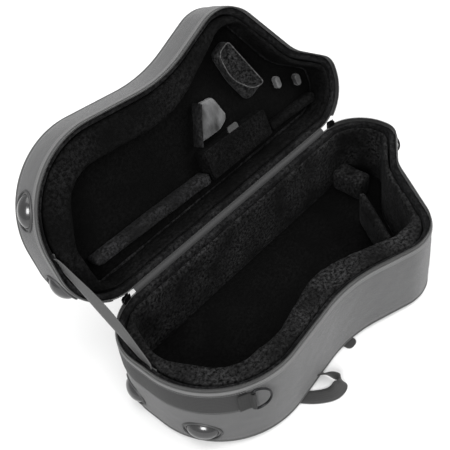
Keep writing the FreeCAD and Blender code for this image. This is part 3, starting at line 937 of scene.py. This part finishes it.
@dataclass
class HalfShell:
    """One half of the soft shell: nylon wall, panel, lining, zip half and stitching."""

    half: Half
    depth: float
    floor: float
    zip_start: float
    repeater: Repeater
    cover_drop: float = 9.0
    cover: float = 1.5
    wall: float = 11.0
    piping: float = 5.0
    panel: float = 1.5
    bulge: float = 1.0
    hem_rise: float = 1.1
    tape_inset: float = 1.6
    hinge_left_radius: float = 95.0
    hinge_right_radius: float = 80.0

    @property
    def body(self) -> str:
        """The CAD body that this half is."""
        return self.half.value

    def proud(self, drop: float) -> float:
        """How far the nylon stands out at a distance from the rim.

        Args:
            drop: Distance from the rim plane, in millimetres.

        Returns:
            The height off the outline, in millimetres.
        """
        low, high = self.cover_drop + 8.0, self.depth - self.piping - 2.0
        t = max(0.0, min(1.0, (drop - low) / (high - low)))
        return self.bulge * math.sin(math.pi * t) ** 0.7

    def _ring(self, inset: float, drop: float, ripple: float = 0.0) -> list[Vector]:
        """The outline at an inset and a drop, with puckers where it is wanted.

        Args:
            inset: How far inside the outline, in millimetres.
            drop: Distance from the rim plane, in millimetres.
            ripple: The depth of the puckers, in millimetres.

        Returns:
            Points in the row's frame, in metres.
        """
        points = CASE.trace(inset)
        if ripple:
            outer = CASE.trace(inset - 1.0)
            points = [p + (o - p) * (noise.noise(Vector((p.x, p.y, drop * 2.5)) * 0.045) * ripple)
                      for p, o in zip(points, outer)]
        return [self.half.put(p, drop) for p in points]

    def wall_cloth(self) -> bpy.types.Object:
        """The grey nylon round the side, with its folded hem at the top.

        Returns:
            The piece.
        """
        top, low = self.cover_drop, self.depth - self.piping
        rings = [self._ring(self.cover, low), self._ring(self.cover, top + 0.9), self._ring(0.8, top + 0.8),
                 self._ring(0.1, top + 1.4), self._ring(0.0, top + 5.0), self._ring(0.05, top + 7.2, 0.2)]
        steps = max(6, round((low - top - 9) / 6.0))
        for k in range(steps + 1):
            drop = top + 8.0 + (low - 1.4 - top - 8.0) * k / steps
            rings.append(self._ring(-self.proud(drop), drop, 0.6))
        rings.append(self._ring(0.3, low - 0.4))
        piece = new_piece(self.body + "_wall_nylon", loft(rings, closed=True), Finishes.GREY)
        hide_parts(self.body + "_side_cover")
        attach(piece, self.body)
        return report(piece)

    def hem(self) -> bpy.types.Object:
        """The ribbed binding folded over the top edge of the nylon.

        Returns:
            The piece.
        """
        top, rise = self.cover_drop, self.hem_rise
        rings = [self._ring(inset, top + drop) for inset, drop in (
            (1.58, 3.0), (1.55, 0.5), (1.2, 0.0), (0.1, -0.1), (-0.64 * rise, 0.5), (-0.95 * rise, 1.6),
            (-rise, 5.6), (-0.86 * rise, 6.8), (-0.36 * rise, 7.3), (0.05, 6.9), (0.05, 2.0), (0.8, 0.9))]
        piece = new_piece(self.body + "_hem", loft(rings, closed=True), Finishes.HEM)
        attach(piece, self.body)
        return report(piece)

    def outer_panel(self) -> bpy.types.Object:
        """The outer panel, crowned a little inside its piping.

        Returns:
            The piece.
        """
        inset = 4.6
        rings = [self._ring(inset, self.depth - self.panel)]
        rings.append(self._ring(inset, self.depth - 0.4))
        for out, rise in ((1.2, 0.1), (4.0, 0.8), (9.0, 1.5), (18.0, 2.1), (30.0, 2.4)):
            lift = rise if self.half is Half.LID else min(rise, 1.2)
            rings.append(self._ring(inset + out, self.depth + lift - 0.4))
        mesh = loft(rings, cap_first=True, cap_last=True)
        piece = new_piece(self.body + "_outer_panel", mesh, Finishes.GREY)
        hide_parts(self.body + "_end_panel")
        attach(piece, self.body)
        return report(piece)

    def lining(self) -> bpy.types.Object:
        """The lined foam wall and floor inside the nylon.

        Returns:
            The piece.
        """
        inner = self.cover + self.wall
        tape_back = self.tape_inset + 1.2
        bottom = self.depth - self.panel
        rings = [self._ring(4.8, bottom - 0.1), self._ring(4.8, self.depth - self.piping),
                 self._ring(1.6, self.depth - self.piping - 0.1), self._ring(1.6, 19.4),
                 self._ring(tape_back, 19.2), self._ring(tape_back, self.cover_drop + 1.8),
                 self._ring(tape_back + 0.6, self.cover_drop + 0.6),
                 self._ring(tape_back + 2.2, self.cover_drop), self._ring(inner - 2.4, self.cover_drop),
                 self._ring(inner - 0.7, self.cover_drop + 0.7), self._ring(inner, self.cover_drop + 2.4),
                 self._ring(inner, bottom - self.floor)]
        mesh = loft(rings, cap_first=True, cap_last=True)
        piece = new_piece(self.body + "_wall_lining", mesh, Finishes.LINING)
        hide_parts(self.body + "_foam_shell")
        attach(piece, self.body)
        return report(piece)

    def zip_run(self, inset: float, drop: float) -> list[Vector]:
        """The stretch of the outline that the zip follows, from the bow end's hinge corner round the front.

        Args:
            inset: How far inside the outline, in millimetres.
            drop: Distance from the rim plane, in millimetres.

        Returns:
            Points in the row's frame, in metres.
        """
        sine = math.sin(math.radians(self.zip_start))
        left = self.hinge_left_radius * (1 - sine)
        right = CASE_LENGTH - self.hinge_right_radius * (1 - sine)
        outer, points = CASE.trace(0.0), CASE.trace(inset)
        kept = [not (left < p.x < right and p.y > -47.5) for p in outer]
        start = next(i for i in range(len(kept)) if kept[i] and not kept[i - 1])
        order = [(start + i) % len(kept) for i in range(len(kept))]
        return [self.half.put(points[i], drop) for i in order if kept[i]]

    def tape(self) -> bpy.types.Object:
        """The zip's woven tape.

        Returns:
            The piece.
        """
        rows = []
        for inset, drop in ((1.6, 18.7), (1.6, 3.0), (1.5, 2.8), (2.7, 2.8), (2.6, 3.0), (2.6, 18.7)):
            rows.append(self.zip_run(inset, drop))
        piece = new_piece(self.body + "_tape", loft(rows, around=False, closed=True), Finishes.TAPE)
        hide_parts(self.body + "_zip_tape")
        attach(piece, self.body)
        return report(piece)

    def teeth(self) -> bpy.types.Object:
        """The zip's row of nylon coil teeth.

        Returns:
            The piece.
        """
        piece = self.repeater.run(self.body + "_coil", self.zip_run(2.1, 1.85), False, Finishes.COIL, 2.0,
                                  (1.25, 2.5, 2.1), self.half.up, 0.12, 11)
        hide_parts(self.body + "_zip_teeth")
        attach(piece, self.body)
        return report(piece)

    def stitches(self) -> list[bpy.types.Object]:
        """Rows of stitches along the hem and beside the piping, and on the tape.

        Returns:
            The pieces, one for each row.
        """
        made = []
        rows = ((-self.hem_rise, self.cover_drop + 5.9, "hem", Finishes.THREAD),
                (-self.hem_rise, self.cover_drop + 1.9, "edge", Finishes.THREAD),
                (-self.proud(self.depth - 10.5) - 0.1, self.depth - 10.5, "piping", Finishes.THREAD))
        for inset, drop, name, finish in rows:
            path = [self.half.put(p, drop) for p in CASE.trace(inset)]
            piece = self.repeater.run(f"{self.body}_{name}_stitches", path, True, finish, 3.6,
                                      (2.7, 0.55, 0.6), self.half.up, 0.05, 5)
            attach(piece, self.body)
            made.append(report(piece))
        path = self.zip_run(1.45, 7.2)
        piece = self.repeater.run(f"{self.body}_tape_stitches", path, False, Finishes.DARK_THREAD, 3.2,
                                  (2.3, 0.5, 0.5), self.half.up, 0.0, 9)
        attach(piece, self.body)
        made.append(report(piece))
        return made

    def build(self) -> None:
        """Builds every piece of the half."""
        self.wall_cloth()
        self.hem()
        self.outer_panel()
        self.lining()
        self.tape()
        self.teeth()
        self.stitches()


@dataclass
class Padding:
    """The plush linings, dividers, pockets and pads."""

    base: tuple[SoftPiece, ...] = (
        SoftPiece("base_plush_ring", "base_padding_ring", Finishes.PLUSH, 4.0, 10, 1.6),
        SoftPiece("base_plush_floor", "base_cavity_floor", Finishes.DEEP_PLUSH, 4.0, 1, 0.5),
        SoftPiece("bell_divider", "bell_divider_pad", Finishes.PLUSH, 3.5, 6, 1.0, 3.0),
        SoftPiece("body_rest", "body_rest_pad", Finishes.PLUSH, 3.5, 6, 1.0, 3.0),
        SoftPiece("bow_rest", "bow_rest_pad", Finishes.PLUSH, 3.5, 6, 1.0, 3.0),
        SoftPiece("underside_pad", "base_back_pad", Finishes.UNDER, 3.0, 3, 0.0, padded=False),
    )
    lid: tuple[SoftPiece, ...] = (
        SoftPiece("lid_plush_ring", "lid_padding_ring", Finishes.LID_PLUSH, 4.0, 10, 1.6),
        SoftPiece("lid_plush_lining", "lid_cavity_lining", Finishes.DEEP_PLUSH, 3.0, 1, 0.4),
        SoftPiece("long_divider", "lid_long_divider", Finishes.BOARD, 3.0, 3, 0.5, 2.0),
        SoftPiece("cross_divider", "lid_cross_divider", Finishes.BOARD, 3.0, 3, 0.5, 2.0),
        SoftPiece("side_shelf", "side_shelf_pad", Finishes.LID_PLUSH, 3.5, 5, 0.8, 2.0),
        SoftPiece("accessory_tray", "accessory_box", Finishes.LID_PLUSH, 2.0, 2, 0.3, padded=False),
        SoftPiece("satin_patch", "satin_pocket", Finishes.SATIN, 2.5, 5, 1.6, 3.0),
    )

    def build(self) -> None:
        """Builds every padded piece on its half."""
        for piece in self.base:
            piece.build("base")
        for piece in self.lid:
            piece.build("lid")
        SoftPiece("flap", "accessory_flap", Finishes.LID_PLUSH, 1.2, 3, 0.3, padded=False).build("flap")
        SoftPiece("flap_tab", "flap_pull_tab", Finishes.BLACK_WEB_3D, 0.6, 1, 0.0, padded=False).build("flap")
        SoftPiece("light_loops", "satin_loops", Finishes.SATIN, 0.8, 2, 0.0, padded=False).build("lid")
        SoftPiece("grip_sleeve", "handle_grip", Finishes.GRIP, 1.5, 3, 0.3).build("carry_handle")


@dataclass
class Pouch:
    """The deep mouthpiece pouch: a leaf-shaped mouth with a piped lip over a sagging bag."""

    mouth: Outline = Outline(((470, -237, 7), (513, -135, 5), (484, -136, 40), (446, -176, 60),
                              (440, -228, 15)), 3.0)
    foot: Outline = Outline(((470, -236, 6), (512, -136, 6), (477, -116, 14), (452, -172, 30),
                             (440, -226, 14)), 3.0)
    top: float = 31.0
    low: float = 54.5

    def _row(self, share: float, inset: float, drop: float) -> list[Vector]:
        """A loop between the mouth and the foot of the bag, inset and at a distance from the rim.

        Args:
            share: 0 for the mouth, 1 for the foot.
            inset: How far inside that outline, in millimetres.
            drop: Distance from the rim plane, in millimetres.

        Returns:
            Points in the row's frame, in metres.
        """
        count = 72
        loops = []
        for plan in (self.mouth, self.foot):
            points, lengths = plan.trace(inset), []
            total = 0.0
            for i, p in enumerate(points):
                lengths.append(total)
                total += (points[(i + 1) % len(points)] - p).length
            row = []
            for k in range(count):
                at, i = total * k / count, 0
                while i + 1 < len(lengths) and lengths[i + 1] <= at:
                    i += 1
                onward = points[(i + 1) % len(points)]
                run = (onward - points[i]).length
                row.append(points[i].lerp(onward, (at - lengths[i]) / run if run else 0.0))
            loops.append(row)
        rippled = []
        for a, b in zip(*loops):
            p = a.lerp(b, share)
            fold = noise.noise(Vector((p.x, p.y, drop)) * 0.09) * 1.3 * min(1.0, abs(drop - self.top) / 6.0)
            rippled.append(Half.LID.put(p, drop + fold))
        return rippled

    def build(self) -> None:
        """Makes the bag and the piping round its mouth."""
        low, top = self.low, self.top
        rows = [self._row(share, inset, drop) for share, inset, drop in (
            (1.0, 0.0, low), (1.0, -1.4, low - 5.0), (0.8, -1.6, low - 11.0), (0.45, -0.8, top + 7.0),
            (0.1, -0.2, top + 2.0), (0.0, 0.2, top + 0.3), (0.0, 1.0, top), (0.0, 2.0, top + 0.8),
            (0.0, 3.0, top + 5.0), (0.1, 5.0, top + 11.0), (0.2, 8.0, top + 15.5), (0.2, 12.0, top + 17.0))]
        piece = new_piece("pouch", loft(rows, cap_first=True, cap_last=True), Finishes.POUCH)
        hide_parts("mouthpiece_pouch")
        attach(piece, "lid")
        report(piece)
        loops = []
        for turn in range(8):
            angle = 2 * math.pi * turn / 8
            loops.append(self._row(0.0, 1.0 + 1.1 * math.cos(angle), self.top + 1.1 * math.sin(angle)))
        lip = new_piece("pouch_lip", loft(loops, closed=True), Finishes.LIP)
        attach(lip, "lid")
        report(lip)


# ---------------------------------------------------------------- straps and fittings

@dataclass
class Ribbon:
    """A flat strap that follows a smooth path and twists on its way."""

    name: str
    finish: Any
    width: float
    thick: float
    points: tuple[tuple[float, float, float], ...]
    sides: tuple[tuple[float, float, float], ...]
    steps: int = 10

    @staticmethod
    def _between(a: Vector, b: Vector, c: Vector, d: Vector, t: float) -> Vector:
        """A point of the smooth curve through b and c."""
        return 0.5 * ((2 * b) + (c - a) * t + (2 * a - 5 * b + 4 * c - d) * t * t
                      + (3 * b - a - 3 * c + d) * t ** 3)

    def _smooth(self, given: Sequence[tuple[float, float, float]]) -> list[Vector]:
        """The smooth curve through given points.

        Args:
            given: The points or directions to pass through.

        Returns:
            The curve, with the same number of steps between any two.
        """
        p = [Vector(v) for v in given]
        p = [p[0] * 2 - p[1], *p, p[-1] * 2 - p[-2]]
        out = []
        for i in range(1, len(p) - 2):
            for k in range(self.steps):
                out.append(self._between(p[i - 1], p[i], p[i + 1], p[i + 2], k / self.steps))
        return out + [p[-2]]

    def mesh(self) -> bpy.types.Mesh:
        """The strap's skin, in the row's frame.

        Returns:
            The mesh.
        """
        line, sides = self._smooth(self.points), self._smooth(self.sides)
        w, t = self.width / 2, self.thick / 2
        section = [(-w, 0), (-w + t * 0.6, t), (-w * 0.5, t * 1.05), (0, t * 1.1), (w * 0.5, t * 1.05),
                   (w - t * 0.6, t), (w, 0), (w - t * 0.6, -t), (w * 0.5, -t), (0, -t), (-w * 0.5, -t),
                   (-w + t * 0.6, -t)]
        rings = []
        for i, point in enumerate(line):
            ahead, behind = line[min(i + 1, len(line) - 1)], line[max(i - 1, 0)]
            along = (ahead - behind).normalized()
            side = (sides[i] - along * sides[i].dot(along)).normalized()
            face = along.cross(side)
            rings.append([(point + side * a + face * b) * MM for a, b in section])
        return self._turned(rings)

    @staticmethod
    def _turned(rings: list[list[Vector]]) -> bpy.types.Mesh:
        """A loft whose UV runs along the strap.

        Args:
            rings: The strap's cross-sections, in metres.

        Returns:
            The mesh.
        """
        mesh = loft(rings, cap_first=True, cap_last=True)
        layer = mesh.uv_layers[0].data
        for item in layer:
            u, v = item.uv
            item.uv = (v, u)
        return mesh


@dataclass
class Straps:
    """The webbing band, the stay strap, the hinge strip, and the loops on the floor."""

    repeater: Repeater
    shell: HalfShell
    band_top: float = 14.0
    band_width: float = 46.0
    band_thick: float = 1.2
    band_from: float = 19.0
    band_to: float = 339.0

    def _band_points(self, inset: float, drop: float) -> list[Vector]:
        """The band's stretch of the outline."""
        points = zip(CASE.trace(inset), CASE.lengths())
        return [Half.BASE.put(p, drop) for p, at in points if self.band_from < at < self.band_to]

    def band(self) -> None:
        """The wide grey band round the bow end, with its edge stitching."""
        t, a, b = self.band_thick, self.band_top, self.band_top + self.band_width
        rows = []
        for out, drop in ((0.0, a + 0.3), (t - 0.2, a), (t, a + 0.8), (t + 0.1, a + 8),
                          (t + 0.4, (a + b) / 2), (t + 0.25, b - 8), (t, b - 0.8), (t - 0.2, b),
                          (0.0, b - 0.3)):
            rows.append(self._band_points(-self.shell.proud(drop) * 0.9 - out, drop))
        piece = new_piece("bow_band", loft(rows, around=False, closed=True), Finishes.BAND_WEB)
        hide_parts("bow_webbing_band")
        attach(piece, "base")
        report(piece)
        for name, drop in (("upper", a + 3.2), ("lower", b - 3.2)):
            path = self._band_points(-self.shell.proud(drop) * 0.9 - t - 0.12, drop)
            row = self.repeater.run(f"bow_band_{name}_stitches", path, False, Finishes.THREAD, 3.8,
                                    (2.9, 0.6, 0.6), Half.BASE.up, 0.04, 3)
            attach(row, "base")
            report(row)

    def keepers(self) -> None:
        """The stitched folds that hold the shoulder-strap rings."""
        for node in ("bow_ring_keeper", "neck_ring_keeper"):
            low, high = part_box(node)
            fold = SoftPiece(node + "_fold", node, Finishes.KEEPER_WEB, 0.9, 2, 0.0, padded=False)
            piece = fold.build("base")
            LOG.info("%s spans %.1f mm", piece.name, (high - low).length / MM)

    def stay(self) -> None:
        """The strap that holds the lid open, turned a quarter at each end."""
        start, end = (half.put(STAY_ANCHOR, STAY_TOP) / MM for half in Half)
        tail_a, tail_b = (half.put(STAY_ANCHOR, STAY_TAIL) / MM for half in Half)
        along = (end - start).normalized()
        flat = Vector((1, 0, 0)).cross(along)
        points = [tail_a, start]
        sides = [Vector((0, 1, 0)), (flat + Vector((0, 1, 0))).normalized()]
        for share, turn in ((0.16, 4.0), (0.3, 12.0), (0.42, 17.0), (0.5, 18.0), (0.58, 17.0), (0.7, 12.0),
                            (0.84, 4.0)):
            angle = math.radians(turn)
            sag = math.sin(math.pi * share)
            points.append(start.lerp(end, share) + Vector((4.5 * sag, 0.0, -1.5 * sag)))
            sides.append(flat * math.cos(angle) + Vector((1, 0, 0)) * math.sin(angle))
        lid_side = Half.LID.put(Vector((0, 1)), 0) - Half.LID.put(Vector((0, 0)), 0)
        points += [end, tail_b]
        sides += [(flat + lid_side.normalized()).normalized(), lid_side.normalized()]
        strap = Ribbon("stay_strap", Finishes.STAY_WEB, 24.0, 1.5, tuple(tuple(p) for p in points),
                       tuple(tuple(s) for s in sides), 8)
        piece = new_piece(strap.name, strap.mesh(), strap.finish)
        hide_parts("lid_stay_strap")
        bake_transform(piece)
        report(piece)

    def hinge(self) -> None:
        """The nylon strip along the hinge, bent between the halves."""
        low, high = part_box("hinge_strip")
        source = SoftPiece("hinge_cloth", "hinge_strip", Finishes.UNDER, padded=False)
        made = source.evaluated(source.solid(), self._even)
        smooth(made)
        cloth = new_piece("hinge_cloth", made, Finishes.UNDER)
        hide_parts("hinge_strip")
        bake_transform(cloth)
        LOG.info("hinge strip is %.0f mm long", (high.x - low.x) / MM)
        report(cloth)

    @staticmethod
    def _even(work: bpy.types.Object) -> None:
        """Evens out the faces of a thin strip."""
        made = work.modifiers.new("Remesh", "REMESH")
        made.mode, made.voxel_size = "VOXEL", 1.2 * MM

    def floor_loops(self) -> None:
        """The limp webbing loops that lie out from under the base."""
        def plan(x: float, y: float, z: float) -> tuple[float, float, float]:
            """A point over the plan, in the row's frame."""
            return x - CASE_LENGTH / 2, y + HINGE_WALL, z

        def tilt(x: float, y: float, degrees: float) -> tuple[float, float, float]:
            """A direction in plan, tilted up."""
            length, turn = math.hypot(x, y), math.radians(degrees)
            return x / length * math.cos(turn), y / length * math.cos(turn), math.sin(turn)

        points = (plan(158, -244, 1.5), plan(170, -266, 1.5), plan(184, -285, 1.8), plan(203, -301, 4.2),
                  plan(220, -304, 10.4), plan(228, -297, 14.2), plan(225, -286, 14.0), plan(219, -272, 11.2),
                  plan(214, -260, 5.6), plan(210, -246, 2.4))
        sides = (tilt(0.87, 0.5, 0), tilt(0.85, 0.55, 0), tilt(0.75, 0.65, 3), tilt(0.4, 0.9, 8),
                 tilt(0.1, 1.0, 36), tilt(-0.8, 0.5, 82), tilt(-1.0, 0.2, 80), tilt(-1.0, 0.3, 40),
                 tilt(-1.0, 0.3, 8), tilt(-1.0, 0.2, 0))
        strap = Ribbon("large_floor_loop", Finishes.BLACK_WEB, 24.0, 1.8, points, sides, 9)
        piece = new_piece(strap.name, strap.mesh(), strap.finish)
        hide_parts("large_strap_loop")
        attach(piece, "base")
        report(piece)
        SoftPiece("small_floor_loop", "small_strap_loop", Finishes.BLACK_WEB_3D, 0.7, 2, 0.0,
                  padded=False).build("base")
        SoftPiece("loop_anchors", "strap_anchor_tabs", Finishes.BLACK_WEB_3D, 0.8, 1, 0.0,
                  padded=False).build("base")

    def build(self) -> None:
        """Builds every strap."""
        self.band()
        self.keepers()
        self.stay()
        self.hinge()
        self.floor_loops()


@dataclass
class Foot:
    """One oval foot: a glossy dome in a raised ring, both bent to the wall."""

    half: Half
    at: float
    drop: float
    half_length: float = 28.0
    half_height: float = 18.5
    rise: float = 11.0
    ring: float = 4.0

    def _wall(self, at: float) -> tuple[Vector, Vector]:
        """Plan point and outward direction at a distance along the outline.

        Args:
            at: Distance along the outline, in millimetres.

        Returns:
            The point and the direction.
        """
        points = Outline(CASE.corners, 1.5).trace()
        left = at
        for i, p in enumerate(points):
            step = points[(i + 1) % len(points)] - p
            if left <= step.length:
                way = step.normalized()
                return p + way * left, Vector((way.y, -way.x))
            left -= step.length
        return points[0], Vector((0.0, 1.0))

    def _oval(self, half_length: float, half_height: float, height: float) -> list[Vector]:
        """A loop on the wall, an oval in its developed surface, at a height off it.

        Args:
            half_length: Half the length of the oval, in millimetres.
            half_height: Half its height, in millimetres.
            height: How far it stands off the wall, in millimetres.

        Returns:
            Points in the row's frame, in metres.
        """
        loop = []
        for k in range(56):
            angle = 2 * math.pi * k / 56
            point, outward = self._wall(self.at + half_length * math.cos(angle))
            loop.append(self.half.put(point + outward * height, self.drop + half_height * math.sin(angle)))
        return loop

    def dome(self) -> bpy.types.Mesh:
        """The rounded middle.

        Returns:
            The mesh.
        """
        rings = []
        for share in (0.985, 0.95, 0.91, 0.86, 0.79, 0.7, 0.59, 0.46, 0.32, 0.17, 0.03):
            height = self.rise * (1.6 * math.sqrt(1 - share * share) - 0.6)
            rings.append(self._oval(self.half_length * share, self.half_height * share, height))
        return loft(rings, cap_first=True, cap_last=True)

    def bezel(self) -> bpy.types.Mesh:
        """The raised ring round it.

        Returns:
            The mesh.
        """
        rings = []
        for out, height in ((0.2, -0.6), (0.2, 2.0), (0.8, 2.8), (2.0, 3.3), (3.1, 2.8), (3.8, 1.6),
                            (4.0, -0.6)):
            share = out * self.ring / 4.0
            rings.append(self._oval(self.half_length + share, self.half_height + share, height))
        return loft(rings, closed=True)


@dataclass
class Feet:
    """The four oval feet at the bow end."""

    places: tuple[tuple[Half, float, float, str], ...] = (
        (Half.BASE, 258.0, 110.5, "front"), (Half.BASE, 120.0, 110.5, "hinge"),
        (Half.LID, 258.0, 35.0, "front"), (Half.LID, 120.0, 35.0, "hinge"))

    def build(self) -> None:
        """Builds the feet on both halves."""
        for half, at, drop, name in self.places:
            foot = Foot(half, at, drop)
            for part, mesh, finish in (("dome", foot.dome(), Finishes.FEET),
                                       ("ring", foot.bezel(), Finishes.BEZEL)):
                piece = new_piece(f"{half.value}_{name}_foot_{part}", mesh, finish)
                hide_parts(half.value + ("_foot_domes" if part == "dome" else "_foot_bezels"))
                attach(piece, half.value)
                report(piece)


@dataclass
class Fittings:
    """Hard parts that keep their CAD shape and get their finish."""

    finishes: dict[str, Any] = field(default_factory=lambda: {
        "base_piping": Finishes.PIPING, "lid_piping": Finishes.PIPING,
        "base_foot_studs": Finishes.STEEL, "lid_foot_studs": Finishes.STEEL,
        "bow_d_ring": Finishes.DARK_METAL, "neck_d_ring": Finishes.DARK_METAL,
        "bow_zip_slider": Finishes.DARK_METAL, "bow_zip_pull": Finishes.DARK_METAL,
        "neck_zip_slider": Finishes.DARK_METAL, "neck_zip_pull": Finishes.DARK_METAL,
        "handle_brackets": Finishes.DARK_METAL, "handle_strap": Finishes.BLACK_WEB_3D,
    })

    def build(self) -> None:
        """Dresses each CAD node that stays."""
        for node, finish in self.finishes.items():
            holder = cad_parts[node]
            material = Finishes.material(finish)
            if holder.material_slots:
                for place in holder.material_slots:
                    place.material = material
            else:
                holder.data.materials.append(material)
            LOG.info("%s: %s", node, material.name)


# ---------------------------------------------------------------- studio

@dataclass
class Studio:
    """Pale floor, soft lights and the camera."""

    eye: tuple[float, float, float] = (-0.68016, -0.59512, 1.08937)
    right: tuple[float, float, float] = (0.66779, -0.73543, -0.11487)
    up: tuple[float, float, float] = (0.57687, 0.41382, 0.70425)
    back: tuple[float, float, float] = (-0.47040, -0.53656, 0.70060)
    lens: float = 64.945

    def camera(self) -> None:
        """Sets the camera at its place."""
        data = bpy.data.cameras.new("camera")
        data.lens, data.sensor_width = self.lens, 36.0
        data.clip_start, data.clip_end = 0.05, 50.0
        holder = bpy.data.objects.new("camera", data)
        turn = Matrix((self.right, self.up, self.back)).transposed().to_4x4()
        holder.matrix_world = Matrix.Translation(self.eye) @ turn
        bpy.context.scene.collection.objects.link(holder)
        bpy.context.scene.camera = holder

    def light(self, name: str, place: tuple[float, float, float], size: float, power: float) -> None:
        """One soft square light that faces the case.

        Args:
            name: Its name.
            place: Where it hangs, in metres.
            size: The length of its side, in metres.
            power: Its power, in watts.
        """
        data = bpy.data.lights.new(name, "AREA")
        data.energy, data.size = power, size
        holder = bpy.data.objects.new(name, data)
        way = Vector((0.0, 0.1, 0.1)) - Vector(place)
        holder.location = place
        holder.rotation_mode = "QUATERNION"
        holder.rotation_quaternion = way.to_track_quat("-Z", "Y")
        bpy.context.scene.collection.objects.link(holder)

    def floor(self) -> None:
        """A wide pale floor."""
        work = bmesh.new()
        bmesh.ops.create_grid(work, x_segments=8, y_segments=8, size=6.0)
        mesh = bpy.data.meshes.new("studio_floor")
        work.to_mesh(mesh)
        work.free()
        g = Graph("studio_floor")
        where = g.node("ShaderNodeTexCoord").outputs["Object"]
        shade = g.blend(g.noise(where, 3.0), (0.70, 0.70, 0.70), (0.73, 0.73, 0.73))
        g.feed(g.shader.inputs["Base Color"], shade)
        g.shader.inputs["Roughness"].default_value = 0.9
        mesh.materials.append(g.material)
        holder = bpy.data.objects.new("studio_floor", mesh)
        bpy.context.scene.collection.objects.link(holder)

    def build(self) -> None:
        """Builds the studio."""
        world = bpy.data.worlds.new("studio")
        world.use_nodes = True
        back = world.node_tree.nodes.get("Background")
        back.inputs[0].default_value, back.inputs[1].default_value = (1.0, 1.0, 1.0, 1.0), 0.86
        bpy.context.scene.world = world
        bpy.context.scene.view_settings.view_transform = "Standard"
        self.floor()
        self.light("key", (-2.1, -1.1, 1.9), 1.1, 74.0)
        self.light("side", (2.0, -1.1, 1.6), 1.4, 44.0)
        self.light("top", (0.2, 0.2, 2.8), 2.4, 48.0)
        self.camera()


def main() -> None:
    """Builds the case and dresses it."""
    logging.basicConfig(level=logging.INFO, format="%(name)s: %(message)s")
    Studio().build()
    repeater = Repeater()
    base = HalfShell(Half.BASE, depth=139.0, floor=12.0, zip_start=8.0, repeater=repeater)
    lid = HalfShell(Half.LID, depth=67.0, floor=10.0, zip_start=22.0, repeater=repeater, hem_rise=0.2)
    base.build()
    lid.build()
    Padding().build()
    Pouch().build()
    Straps(repeater, base).build()
    Feet().build()
    Fittings().build()


if __name__ == "__main__":
    main()
